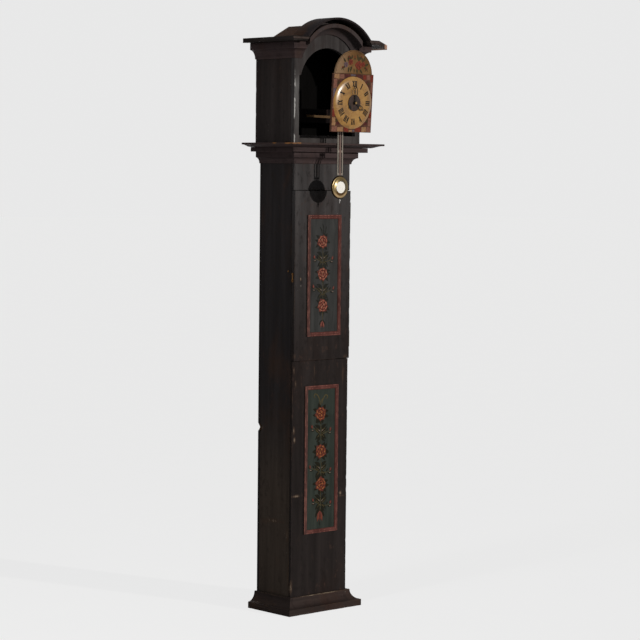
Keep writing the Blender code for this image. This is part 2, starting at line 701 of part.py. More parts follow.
def latch(door_frame):
    """A hook hanging from a screw in the door's edge, and the stud on the case it drops over."""
    hang(door_frame, headed_stud("latch_screw", (LATCH_Y, LATCH_Z), BRASS))
    headed_stud("latch_stud", (LATCH_Y + LATCH_STUD_BACK, LATCH_Z + LATCH_STUD_RISE), BRASS)
    notch = LATCH_STEM_RADIUS + RUNNING_GAP
    shank, end, reach = HOOK_SHANK_WIDTH / 2, HOOK_END_WIDTH / 2, LATCH_REACH
    spread = math.asin(shank / HOOK_EYE_RADIUS)
    outline = arc(HOOK_EYE_RADIUS, -math.pi / 2 + spread, math.pi * 1.5 - spread, SMALL_ROUND_STEPS)
    outline += [(-shank, -reach + end * 1.5), (-end, -reach + end), (-end, -reach + notch)]
    outline += arc(notch, math.pi / 2, -math.pi / 2, SMALL_ROUND_STEPS // 2, (0.0, -reach))
    outline += [
        (-end, -reach - notch), (-end, -reach - HOOK_NOSE * 0.6), (-end * 0.3, -reach - HOOK_NOSE),
        (end * 0.7, -reach - HOOK_NOSE * 0.85), (end, -reach), (end, -reach + end),
        (shank, -reach + end * 1.5),
    ]
    eye = circle(notch, SMALL_ROUND_STEPS)
    out = FIT_GAP + HOOK_STANDOFF + HOOK_THICKNESS / 2
    place = (-HALF_WIDTH - out, LATCH_Y, LATCH_Z)
    hang(door_frame, flat("latch_hook", [outline, eye], HOOK_THICKNESS, SIDE, BRASS, place))


def vault_side(inset, foot):
    """Knee of the boarded vault and its slope's foot at a height, both set in from the outer faces."""
    knee_x = VAULT_TOP_HALF - inset * math.tan(VAULT_PITCH / 2)
    knee_z = EAVES_BOTTOM + VAULT_RISE - inset
    foot_x = knee_x + (knee_z - foot) / math.tan(VAULT_PITCH)
    return (foot_x, foot), (knee_x, knee_z)


def mirrored(points):
    """Half an outline, given from its right-hand end up to its top, with the other half added."""
    return points + [(-x, z) for x, z in reversed(points)]


def hood_walls():
    """Front board with its arched opening, two sides and the back between them, all on the shelf."""
    foot = SHELF_TOP + FIT_GAP
    wall_top = EAVES_BOTTOM - FIT_GAP
    side_front = HOOD_REAR_OF_FRONT_Y + FIT_GAP
    for side, name in ((-1, "hood_side_left"), (1, "hood_side_right")):
        inner, outer = sorted((side * HOOD_INNER, side * HOOD_HALF))
        board(name, (inner, side_front, foot), (outer, BACK_Y, wall_top), EBONY_PAINT, edge=BOARD_EDGE)
    jamb = HOOD_HALF - STILE_WIDTH
    spring = EAVES_BOTTOM - SPRING_BELOW_EAVES
    sill = SHELF_TOP + SILL_HEIGHT
    shoulder = jamb - SPRING_SHOULDER
    start = math.atan2(ARCH_DROP, shoulder)
    radius = math.hypot(shoulder, ARCH_DROP)
    head = arc(radius, start, math.pi - start, ARC_STEPS, (0.0, spring - ARCH_DROP))
    opening = [(-jamb, sill), (jamb, sill), (jamb, spring)] + head + [(-jamb, spring)]
    start = math.asin((wall_top - ROOF_CENTRE) / HEAD_RADIUS)
    head = arc(HEAD_RADIUS, start, math.pi - start, ARC_STEPS, (0.0, ROOF_CENTRE))
    outline = [(-HOOD_HALF, foot), (HOOD_HALF, foot), (HOOD_HALF, wall_top)] + head + [(-HOOD_HALF, wall_top)]
    flat("hood_front", [outline, opening], HOOD_BOARD, FRONT, EBONY_PAINT,
         (0, HOOD_FRONT_Y + HOOD_BOARD / 2, 0))
    half = HOOD_INNER - FIT_GAP
    inside = vault_side(VAULT_THICKNESS + FIT_GAP, wall_top)
    outline = mirrored([(half, foot), (half, wall_top), *inside])
    flat("hood_back", [outline], BACK_BOARD, FRONT, BARE_WOOD, (0, HOOD_BACK_Y - BACK_BOARD / 2, 0))


def barrel(name, centre, inner, thickness, foot, front, back, paint):
    """A bent roof sheet, cut level at its two feet."""
    rise = foot - centre
    outer = inner + thickness
    outer_start, inner_start = math.asin(rise / outer), math.asin(rise / inner)
    outline = arc(outer, outer_start, math.pi - outer_start, ARC_STEPS, (0.0, centre))
    outline += arc(inner, math.pi - inner_start, inner_start, ARC_STEPS, (0.0, centre))
    flat(name, [outline], back - front, FRONT, paint, (0, (front + back) / 2, 0))


def eaves_board(side, foot, head, reach, sag):
    """Section of an eaves board: its inner edge runs from a foot to a head, and it has sagged outside."""
    knee, tip = HOOD_HALF + EAVES_KNEE, HOOD_HALF + reach
    points = [
        (foot, EAVES_BOTTOM), (knee, EAVES_BOTTOM), (tip, EAVES_BOTTOM - sag),
        (tip, EAVES_TOP - sag), (knee, EAVES_TOP), (head, EAVES_TOP),
    ]
    return [(side * x, z) for x, z in points]


def eaves():
    """Flat boards outside the roof: fitted to the hood front's arched head, and to the vault behind it."""
    play = 2 * FIT_GAP
    step = HOOD_REAR_OF_FRONT_Y + FIT_GAP
    at_head = [math.sqrt(HEAD_RADIUS**2 - (z - ROOF_CENTRE) ** 2) + play for z in (EAVES_BOTTOM, EAVES_TOP)]
    at_vault = [vault_side(0.0, z)[0][0] + play for z in (EAVES_BOTTOM, EAVES_TOP)]
    for side, name, reach, sag in (
        (-1, "eaves_left", LEFT_EAVES_OUT, LEFT_EAVES_SAG),
        (1, "eaves_right", RIGHT_EAVES_OUT, RIGHT_EAVES_SAG),
    ):
        rings = []
        for y, (foot, head) in (
            (ROOF_FRONT_Y, at_head), (HOOD_REAR_OF_FRONT_Y, at_head), (step, at_vault), (BACK_Y, at_vault),
        ):
            rings.append([(x, y, z) for x, z in eaves_board(side, foot, head, reach, sag)])
        loft(name, rings, EBONY_PAINT)


def roof():
    """Bare boarded vault, the painted front roof that overhangs the arch, and the arch moulding."""
    inner_foot, inner_knee = vault_side(VAULT_THICKNESS, EAVES_BOTTOM)
    outer_foot, outer_knee = vault_side(0.0, EAVES_BOTTOM)
    front = HOOD_REAR_OF_FRONT_Y + FIT_GAP
    outline = mirrored([outer_foot, outer_knee]) + mirrored([inner_foot, inner_knee])[::-1]
    flat("roof_vault", [outline], HOOD_BACK_Y - front, FRONT, BARE_WOOD, (0, (front + HOOD_BACK_Y) / 2, 0))
    barrel("roof_front", ROOF_CENTRE, HEAD_RADIUS + FIT_GAP, ROOF_THICKNESS, EAVES_TOP + FIT_GAP,
           ROOF_FRONT_Y, ROOF_FRONT_Y + ROOF_FRONT_DEPTH, EBONY_PAINT)
    wall = FIT_GAP
    lip = ARCH_RADIUS - ARCH_MOULDING_BAND
    section = [(wall, ARCH_INNER)]
    section += cove((wall + ARCH_MOULDING_TOE, ARCH_INNER), (ARCH_MOULDING_OUT, lip))
    section += [(ARCH_MOULDING_OUT, ARCH_RADIUS), (wall, ARCH_RADIUS)]
    rings = []
    for i in range(ARC_STEPS + 1):
        ring = []
        for out, radius in section:
            start = math.acos(RETURN_X / radius)
            turn = start + (math.pi - 2 * start) * i / ARC_STEPS
            x, z = radius * math.cos(turn), ROOF_CENTRE + radius * math.sin(turn)
            ring.append((x, HOOD_FRONT_Y - out, z))
        rings.append(ring)
    loft("arch_moulding", rings, EBONY_PAINT)


def hood_cornices():
    """Cove and band under the eaves on each side, returned across the front to meet the arch moulding."""
    cove_foot = EAVES_BOTTOM - HOOD_CORNICE_HEIGHT
    section = [(FIT_GAP, cove_foot)]
    section += cove((HOOD_CORNICE_TOE, cove_foot), (HOOD_CORNICE_OUT, EAVES_BOTTOM - HOOD_CORNICE_BAND))
    section += [(HOOD_CORNICE_OUT, EAVES_BOTTOM - FIT_GAP), (FIT_GAP, EAVES_BOTTOM - FIT_GAP)]
    for side, name in ((-1, "hood_cornice_left"), (1, "hood_cornice_right")):
        loft(name, [
            run(section, (side * RETURN_X, HOOD_FRONT_Y), (0, -1), (side * FIT_GAP, 0.0)),
            run(section, (side * HOOD_HALF, HOOD_FRONT_Y), (side, -1)),
            run(section, (side * HOOD_HALF, BACK_Y), (side, 0)),
        ], EBONY_PAINT)


def seat(head):
    """The forked plank that carries the movement, tenoned into a rail across the hood."""
    half = PLANK_WIDTH / 2
    slot = FORK_SLOT_WIDTH / 2
    front = FRONT_PLATE_Y + FIT_GAP
    slot_end = SUSPENSION_Y + FORK_SLOT_BEHIND
    back = RAIL_Y + PLANK_TENON
    outline = [
        (slot, front), (half, front), (half, back), (-half, back), (-half, front), (-slot, front),
        (-slot, slot_end), (slot, slot_end),
    ]
    flat("seat_plank", [outline], PLANK_THICKNESS, PLAN, RAW_PINE, (0, 0, PLANK_MIDDLE), head)
    span = HOOD_INNER - FIT_GAP
    rail = board("seat_rail", (-span, RAIL_Y, PLANK_MIDDLE - RAIL_HEIGHT / 2),
                 (span, RAIL_Y + RAIL_THICKNESS, PLANK_MIDDLE + RAIL_HEIGHT / 2), EBONY_PAINT, head)
    tall = PLANK_THICKNESS / 2 + FIT_GAP
    cut(rail, board("seat_mortise", (-half - FIT_GAP, RAIL_Y - PLANK_THICKNESS, PLANK_MIDDLE - tall),
                    (half + FIT_GAP, back + FIT_GAP, PLANK_MIDDLE + tall), EBONY_PAINT, head))


def dial(head):
    """The arched dial board and the domed chapter circle planted on it."""
    half = DIAL_WIDTH / 2
    centre = DIAL_ABOVE - DIAL_ARCH_RADIUS
    start = math.asin((DIAL_SHOULDER - centre) / DIAL_ARCH_RADIUS)
    outline = [(-half, -DIAL_BELOW), (half, -DIAL_BELOW), (half, DIAL_SHOULDER)]
    outline += arc(DIAL_ARCH_RADIUS, start, math.pi - start, ARC_STEPS, (0.0, centre))
    outline += [(-half, DIAL_SHOULDER)]
    hole = circle(DIAL_HOLE, SMALL_ROUND_STEPS * 2)
    flat("dial_board", [outline, hole], DIAL_THICKNESS, FRONT, DIAL_PAINT, (0, DIAL_THICKNESS / 2, 0), head)
    shoulder = CHAPTER_RADIUS * 0.93
    steps = 6
    profile = []
    for i in range(steps + 1):
        radius = DIAL_HOLE + (shoulder - DIAL_HOLE) * i / steps
        swell = 1 - (radius / shoulder) ** 2
        profile.append((radius, CHAPTER_RIM + (CHAPTER_CROWN - CHAPTER_RIM) * swell))
    profile += [
        (CHAPTER_RADIUS * 0.97, CHAPTER_RIM * 0.94), (CHAPTER_RADIUS * 0.992, CHAPTER_RIM * 0.62),
        (CHAPTER_RADIUS, CHAPTER_RIM * 0.25), (CHAPTER_RADIUS, FIT_GAP), (DIAL_HOLE, FIT_GAP),
    ]
    turned("chapter_circle", profile, CHAPTER_PAINT, (0, 0, 0), head, "Y", ring=True, steps=48)


def turned_by(angle, points):
    """Points of a hand, turned clockwise from the twelve."""
    c, s = math.cos(angle), math.sin(angle)
    return [(x * c + z * s, z * c - x * s) for x, z in points]


def on_pipe(name, loops, face, bore, paint, back, head):
    """A flat piece on a pipe that turns about the dial's centre; face is its front, back the pipe's end."""
    pipe = bore + PIPE_WALL
    hole = circle((bore + pipe) / 2, SMALL_ROUND_STEPS * 2)
    middle = face - HAND_THICKNESS / 2
    piece = flat(name, loops[:1] + [hole] + loops[1:], HAND_THICKNESS, FRONT, paint, (0, -middle, 0), head)
    tip = face + HAND_THICKNESS / 4
    fuse(piece, tube(name + "_pipe", bore, pipe, -back, tip, paint, (0, 0, 0), head, "Y"))


def hand(name, length, angle, face, bore, back, head):
    """A pierced hand: boss, stem and a pointed loop."""
    boss = bore + PIPE_WALL + HAND_LIMB
    stem = HAND_STEM_WIDTH / 2
    loop_foot = length * 0.42
    steps = 14

    def half(share):
        return stem * (1 - share) + (HAND_LOOP_WIDTH - stem) / 2 * math.sin(math.pi * share**0.8)

    shares = [i / steps for i in range(steps + 1)]
    right = [(half(share), loop_foot + (length - loop_foot) * share) for share in shares[:-1]]
    left = [(-x, z) for x, z in reversed(right)]
    spread = math.asin(stem / boss)
    round_boss = arc(boss, math.pi / 2 + spread, math.pi * 2.5 - spread, SMALL_ROUND_STEPS * 2)
    outline = right + [(0.0, length)] + left + round_boss
    inside = [(x - HAND_LIMB, z) for x, z in right if x > HAND_LIMB * 1.25]
    loops = [outline, inside + [(-x, z) for x, z in reversed(inside)]]
    on_pipe(name, [turned_by(angle, loop) for loop in loops], face, bore, DARK_IRON, back, head)


def hands(head):
    """Alarm disc, hour hand and minute hand on pipes one inside the other, and the nut in front."""
    behind = DIAL_THICKNESS - FIT_GAP
    points = math.pi / 2 - ALARM_POINT_ANGLE
    width = ALARM_POINT / ALARM_RADIUS
    disc = arc(ALARM_RADIUS, points + width, points - width + 2 * math.pi, 40)
    tip = ALARM_RADIUS + ALARM_POINT
    disc.append((tip * math.cos(points), tip * math.sin(points)))
    on_pipe("alarm_disc", [disc], ALARM_FACE, ALARM_BORE, DARK_IRON, behind, head)
    hand("hour_hand", HOUR_HAND_LENGTH, HOUR_ANGLE, HOUR_FACE, HOUR_BORE, behind, head)
    hand("minute_hand", MINUTE_HAND_LENGTH, 0.0, MINUTE_FACE, MINUTE_BORE, behind, head)
    low = MINUTE_FACE + HAND_THICKNESS / 2
    top = low + HAND_NUT_HEIGHT
    bore = ARBOR_RADIUS + RUNNING_GAP
    profile = [
        (bore, top), (HAND_NUT_RADIUS * 0.6, top), (HAND_NUT_RADIUS, top - HAND_NUT_HEIGHT / 2),
        (HAND_NUT_RADIUS, low), (bore, low),
    ]
    turned("hand_nut", profile, BRASS, (0, 0, 0), head, "Y", ring=True, steps=SMALL_ROUND_STEPS)


def plates(head):
    """Two wooden plates that stand on the plank's fork, with pillars on the back one."""
    half, tongue = PLATE_WIDTH / 2, PLATE_TONGUE_WIDTH / 2
    foot = -PLANK_DROP + FIT_GAP
    toe = -PLANK_DROP - PLATE_TONGUE_DROP
    top = ANCHOR_PLACE[1] + PLATE_HEADROOM
    outline = [
        (-tongue, toe), (tongue, toe), (tongue, foot), (half, foot),
        (half, top), (-half, top), (-half, foot), (-tongue, foot),
    ]
    arbors = (GREAT_PLACE, CENTRE_PLACE, THIRD_PLACE, ESCAPE_PLACE, ANCHOR_PLACE)
    holes = [circle(ARBOR_RADIUS + RUNNING_GAP, SMALL_ROUND_STEPS, place) for place in arbors]
    flat("movement_front_plate", [outline] + holes, PLATE_THICKNESS, FRONT, PLATE_WOOD,
         (0, FRONT_PLATE_Y + PLATE_THICKNESS / 2, 0), head)
    back = flat("movement_back_plate", [outline] + holes, PLATE_THICKNESS, FRONT, PLATE_WOOD,
                (0, BACK_PLATE_Y + PLATE_THICKNESS / 2, 0), head)
    near, far = -TRAIN_Y - FIT_GAP, -BACK_PLATE_Y - FIT_GAP
    for x in (PILLAR_INSET - half, half - PILLAR_INSET):
        for z in (foot + PILLAR_INSET, top - PILLAR_INSET):
            fuse(back, rod("pillar", PILLAR_RADIUS, far, near, PLATE_WOOD, (x, 0, z), head, "Y"))


def teeth(count, module, shape, phase):
    """A toothed outline: tooth height and depth in modules, root and tip half widths in pitches."""
    above, below, root_half, tip_half = shape
    pitch = 2 * math.pi / count
    radius = module * count / 2
    root, tip = radius - below * module, radius + above * module
    points = []
    for i in range(count):
        middle = phase + i * pitch
        for distance, side in ((root, -root_half), (tip, -tip_half), (tip, tip_half), (root, root_half)):
            turn = middle + side * pitch
            points.append((distance * math.cos(turn), distance * math.sin(turn)))
    return points


def meshed_phase(driver, driver_teeth, follower, follower_teeth):
    """Turn of the follower that puts its gap on the driver's tooth along the line of centres."""
    line = math.atan2(follower[1] - driver[1], follower[0] - driver[0])
    lead = line * driver_teeth / (2 * math.pi)
    return line + math.pi - (2 * math.pi / follower_teeth) * (0.5 - lead)


def crossings(rim_radius):
    """Openings between the spokes of a wheel."""
    loops = []
    outer_play = math.asin(SPOKE_WIDTH / 2 / rim_radius)
    inner_play = math.asin(SPOKE_WIDTH / 2 / WHEEL_HUB)
    for i in range(SPOKES):
        start, end = 2 * math.pi * i / SPOKES, 2 * math.pi * (i + 1) / SPOKES
        loops.append(arc(rim_radius, start + outer_play, end - outer_play, 6)
                     + arc(WHEEL_HUB, end - inner_play, start + inner_play, 2))
    return loops


def layer(name, loops, start, thickness, place, paint, head):
    """A flat wheel or pinion at its distance behind the front plate."""
    middle = TRAIN_Y + start + thickness / 2
    return flat(name, loops, thickness, FRONT, paint, (place[0], middle, place[1]), head)


def arbor(name, place, front, back, head):
    return rod(name, ARBOR_RADIUS, -back, -front, STEEL, (place[0], 0, place[1]), head, "Y")


def pinion(name, leaves, place, driver_teeth, module, driver_place, driver_layer, head):
    """A pinion in mesh with the wheel that drives it, a little longer than that wheel is thick."""
    phase = meshed_phase(driver_place, driver_teeth, place, leaves)
    length = WHEEL_THICKNESS + 2 * PINION_OVERRUN
    outline = teeth(leaves, module, PINION_LEAF, phase)
    return layer(name, [outline], driver_layer - PINION_OVERRUN, length, place, STEEL, head)


def wheel(name, place, count, module, start, head):
    rim = module * count / 2 - WHEEL_TOOTH[1] * module - WHEEL_RIM
    loops = [teeth(count, module, WHEEL_TOOTH, 0.0)] + crossings(rim)
    return layer(name, loops, start, WHEEL_THICKNESS, place, BRASS, head)


def escape_teeth():
    """Pointed teeth that all lean the same way."""
    root = ESCAPE_RADIUS - ESCAPE_TOOTH
    pitch = 2 * math.pi / ESCAPE_TEETH
    points = []
    for i in range(ESCAPE_TEETH):
        for radius, share in ((root, 0.0), (ESCAPE_RADIUS, 0.12), (ESCAPE_RADIUS, 0.20), (root, 0.45)):
            turn = (i + share) * pitch
            points.append((radius * math.cos(turn), radius * math.sin(turn)))
    return points


def train(head):
    """Great, centre, third and escape wheels, each in one piece with its arbor and pinion."""
    front, back = FRONT_PLATE_Y + RUNNING_GAP, REAR_FACE_Y - RUNNING_GAP
    hands_front = -(MINUTE_FACE + HAND_NUT_HEIGHT)
    great = wheel("great_wheel", GREAT_PLACE, GREAT_TEETH, GREAT_MODULE, GREAT_LAYER, head)
    fuse(great, arbor("great_arbor", GREAT_PLACE, front, back, head), sprocket(head))
    centre = wheel("centre_wheel", CENTRE_PLACE, CENTRE_TEETH, CENTRE_MODULE, CENTRE_LAYER, head)
    fuse(centre, arbor("centre_arbor", CENTRE_PLACE, hands_front, back, head),
         pinion("centre_pinion", CENTRE_LEAVES, CENTRE_PLACE, GREAT_TEETH, GREAT_MODULE, GREAT_PLACE,
                GREAT_LAYER, head))
    third = wheel("third_wheel", THIRD_PLACE, THIRD_TEETH, THIRD_MODULE, THIRD_LAYER, head)
    fuse(third, arbor("third_arbor", THIRD_PLACE, front, back, head),
         pinion("third_pinion", THIRD_LEAVES, THIRD_PLACE, CENTRE_TEETH, CENTRE_MODULE, CENTRE_PLACE,
                CENTRE_LAYER, head))
    escape = layer("escape_wheel", [escape_teeth()], ESCAPE_LAYER, WHEEL_THICKNESS, ESCAPE_PLACE, BRASS, head)
    fuse(escape, arbor("escape_arbor", ESCAPE_PLACE, front, back, head),
         pinion("escape_pinion", ESCAPE_LEAVES, ESCAPE_PLACE, THIRD_TEETH, THIRD_MODULE, THIRD_PLACE,
                THIRD_LAYER, head))


def sprocket(head):
    """The grooved pulley for the chain, on the great arbor."""
    high, low = -(TRAIN_Y + SPROCKET_LAYER), -(TRAIN_Y + SPROCKET_LAYER + SPROCKET_WIDTH)
    profile = [
        (0.0, high), (SPROCKET_RADIUS, high), (SPROCKET_RADIUS * 0.75, (high + low) / 2),
        (SPROCKET_RADIUS, low), (0.0, low),
    ]
    return turned("sprocket", profile, BRASS, (GREAT_PLACE[0], 0, GREAT_PLACE[1]), head, "Y",
                  steps=SMALL_ROUND_STEPS * 2)


def anchor(head):
    """Anchor, arbor and crutch in one piece. Its pallets stand just clear of the escape wheel's tips."""
    tip = ESCAPE_RADIUS + PALLET_CLEARANCE
    depth = ANCHOR_DEPTH
    right = []
    for above_tip, turn in ((1.0, 0), (0.68, 22), (0.44, 48), (0.0, 50), (0.0, 42), (0.26, 30), (0.3, 0)):
        radius, turn = tip + above_tip * depth, math.radians(turn)
        right.append((radius * math.sin(turn), radius * math.cos(turn) - ANCHOR_DISTANCE))
    outline = right + [(-x, z) for x, z in reversed(right[1:-1])]
    piece = layer("anchor", [outline], ESCAPE_LAYER, WHEEL_THICKNESS, ANCHOR_PLACE, STEEL, head)
    near = REAR_FACE_Y + CRUTCH_CLEARANCE
    far = near + CRUTCH_THICKNESS
    z = ANCHOR_PLACE[1]
    half = CRUTCH_WIDTH / 2
    low = z - CRUTCH_LENGTH
    arm = board("crutch_arm", (-half, near, low - half), (half, far, z + half), STEEL, head)
    joint = near + CRUTCH_THICKNESS / 2
    pin_end = -SUSPENSION_Y - ROD_THICKNESS
    pin = rod("crutch_pin", CRUTCH_PIN_RADIUS, pin_end, -joint, STEEL, (0, 0, low), head, "Y")
    fuse(piece, arbor("anchor_arbor", ANCHOR_PLACE, FRONT_PLATE_Y + RUNNING_GAP, joint, head), arm, pin)


def cock(head):
    """The bracket behind the movement, with the pin that the pendulum hangs on."""
    half = COCK_WIDTH / 2
    z = ANCHOR_PLACE[1]
    eye = CORE_WIDTH / 2 + EYE_LIP
    arm_foot = z + eye + ROD_THICKNESS
    near = REAR_FACE_Y + FIT_GAP
    tongue = SUSPENSION_Y + ROD_THICKNESS
    far = tongue + COCK_TONGUE
    piece = board("suspension_cock", (-half, near, arm_foot), (half, far, arm_foot + COCK_ARM), BRASS, head)
    drop = board("cock_tongue", (-half + FIT_GAP, tongue, z - eye),
                 (half - FIT_GAP, far - FIT_GAP, arm_foot + FIT_GAP), BRASS, head)
    pin_back, pin_front = -tongue - COCK_TONGUE / 2, ROD_THICKNESS - SUSPENSION_Y
    pin = rod("cock_pin", SUSPENSION_PIN_RADIUS, pin_back, pin_front, BRASS, (0, 0, z), head, "Y")
    fuse(piece, drop, pin)


def pendulum():
    """A three-bar rod with its eye on the cock's pin, the lens bob, its enamel disc and the nut."""
    pivot = (0, PENDULUM_Y, SUSPENSION_Z)
    core, wide = CORE_WIDTH / 2, ROD_WIDTH / 2
    eye = core + EYE_LIP
    bottom = PENDULUM_LENGTH - BOB_RADIUS - BOB_CLEAR_OF_GRID
    neck = math.acos(core / eye)
    outline = arc(eye, -neck, math.pi + neck, SMALL_ROUND_STEPS * 2)
    outline += [
        (-core, -GRID_TOP), (-wide, -GRID_TOP), (-wide, -bottom),
        (wide, -bottom), (wide, -GRID_TOP), (core, -GRID_TOP),
    ]
    slot, slot_half = CRUTCH_SLOT_WIDTH / 2, CRUTCH_SLOT_HEIGHT / 2
    holes = [
        circle(SUSPENSION_PIN_RADIUS + RUNNING_GAP, SMALL_ROUND_STEPS),
        rectangle(-slot, slot, -CRUTCH_LENGTH - slot_half, -CRUTCH_LENGTH + slot_half),
    ]
    for across in (-1, 1):
        inner, outer = sorted((across * core, across * (wide - WIRE_WIDTH)))
        holes.append(rectangle(inner, outer, -GRID_MIDDLE + GRID_BAR / 2, -GRID_TOP - GRID_BAR))
        holes.append(rectangle(inner, outer, -bottom + GRID_BAR, -GRID_MIDDLE - GRID_BAR / 2))
    bars = flat("pendulum_rod", [outline] + holes, ROD_THICKNESS, FRONT, BRASS, pivot)
    bob_foot = PENDULUM_LENGTH + BOB_RADIUS
    stem_foot, stem_top = -bob_foot - NUT_THREAD, -bottom + GRID_BAR / 2
    fuse(bars, rod("pendulum_stem", STEM_RADIUS, stem_foot, stem_top, BRASS, pivot))
    hang(frame("pendulum", pivot), bars, *bob((0, PENDULUM_Y, SUSPENSION_Z - PENDULUM_LENGTH)))
    nut((0, PENDULUM_Y, SUSPENSION_Z - bob_foot - FIT_GAP))


def rectangle(left, right, low, high):
    return [(left, low), (right, low), (right, high), (left, high)]


def bob(middle):
    """A brass lens with a flat seat in front for its enamel disc, bored for the stem."""
    seat_height = BOB_THICKNESS / 2 - ENAMEL_THICKNESS / 2
    seat_radius = ENAMEL_RADIUS + FIT_GAP
    rim = BOB_RIM / 2
    steps = 6

    def lens(height, inner):
        shares = [i / steps for i in range(steps + 1)]
        span, rise = BOB_RADIUS - inner, height - rim
        return [(inner + span * share, rim + rise * (1 - share**2)) for share in shares]

    profile = [(0.0, seat_height)] + lens(seat_height, seat_radius)
    profile += [(radius, -height) for radius, height in reversed(lens(BOB_THICKNESS / 2, 0.0))]
    piece = turned("pendulum_bob", profile, BRASS, middle, None, "Y", steps=40)
    bore_reach = BOB_RADIUS + BOB_RIM
    cut(piece, rod("bob_bore", STEM_RADIUS + RUNNING_GAP, -bore_reach, bore_reach, BRASS, middle))
    low = seat_height + FIT_GAP
    profile = [(ENAMEL_RADIUS * across, low + ENAMEL_THICKNESS * up) for across, up in ENAMEL_PROFILE]
    return piece, turned("bob_enamel", profile, ENAMEL, middle, None, "Y")


def nut(top):
    """The rating nut under the bob, drawn out to a point."""
    profile = [(NUT_RADIUS * across, -NUT_HEIGHT * down) for across, down in NUT_PROFILE]
    piece = turned("rating_nut", profile, BRASS, top, steps=20)
    bore_foot = -NUT_THREAD - RUNNING_GAP
    cut(piece, rod("nut_bore", STEM_RADIUS + RUNNING_GAP, bore_foot, NUT_THREAD, BRASS, top))


trunk()
plinth()
cornice()
door_hinge_line = frame("door_hinge_line", (HINGE_X, HINGE_Y, LOWER_BOARD_HEIGHT))
door(door_hinge_line)
hinges(door_hinge_line)
latch(door_hinge_line)
hood_walls()
eaves()
roof()
hood_cornices()
clock_head = frame("clock_head", (0, HEAD_Y, HEAD_Z))
clock_head.rotation_euler.x = HEAD_TILT
seat(clock_head)
dial(clock_head)
hands(clock_head)
plates(clock_head)
train(clock_head)
anchor(clock_head)
cock(clock_head)
pendulum()
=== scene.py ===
"""Dresses the longcase clock: worn black boards, two painted flower panels, a painted dial and brass."""

import math

import bpy
from mathutils import Matrix, Vector, noise


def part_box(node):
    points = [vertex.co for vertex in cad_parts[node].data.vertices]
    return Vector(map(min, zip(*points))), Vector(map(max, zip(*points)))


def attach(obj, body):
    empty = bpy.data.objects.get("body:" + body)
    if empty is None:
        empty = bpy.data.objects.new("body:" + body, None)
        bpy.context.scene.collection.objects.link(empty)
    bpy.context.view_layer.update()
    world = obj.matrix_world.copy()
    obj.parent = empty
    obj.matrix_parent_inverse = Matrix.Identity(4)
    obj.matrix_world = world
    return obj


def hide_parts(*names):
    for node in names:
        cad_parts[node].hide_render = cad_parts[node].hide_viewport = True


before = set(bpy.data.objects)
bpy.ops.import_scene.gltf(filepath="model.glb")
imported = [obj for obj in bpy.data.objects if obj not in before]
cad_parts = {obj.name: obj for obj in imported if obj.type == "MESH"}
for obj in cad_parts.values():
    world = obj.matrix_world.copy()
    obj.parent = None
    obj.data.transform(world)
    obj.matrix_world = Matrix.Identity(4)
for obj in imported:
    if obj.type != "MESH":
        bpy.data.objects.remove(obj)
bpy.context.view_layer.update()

scene = bpy.context.scene

# The room: a pale matt floor that runs on into a pale distance, so that the case stands out dark.
# Low daylight comes from the front right, a narrow tall window on the left lights the dial's rim and a
# broad soft one behind lights the back boards. The camera stands at head height, to the left in front.
scene.view_settings.view_transform = "Standard"


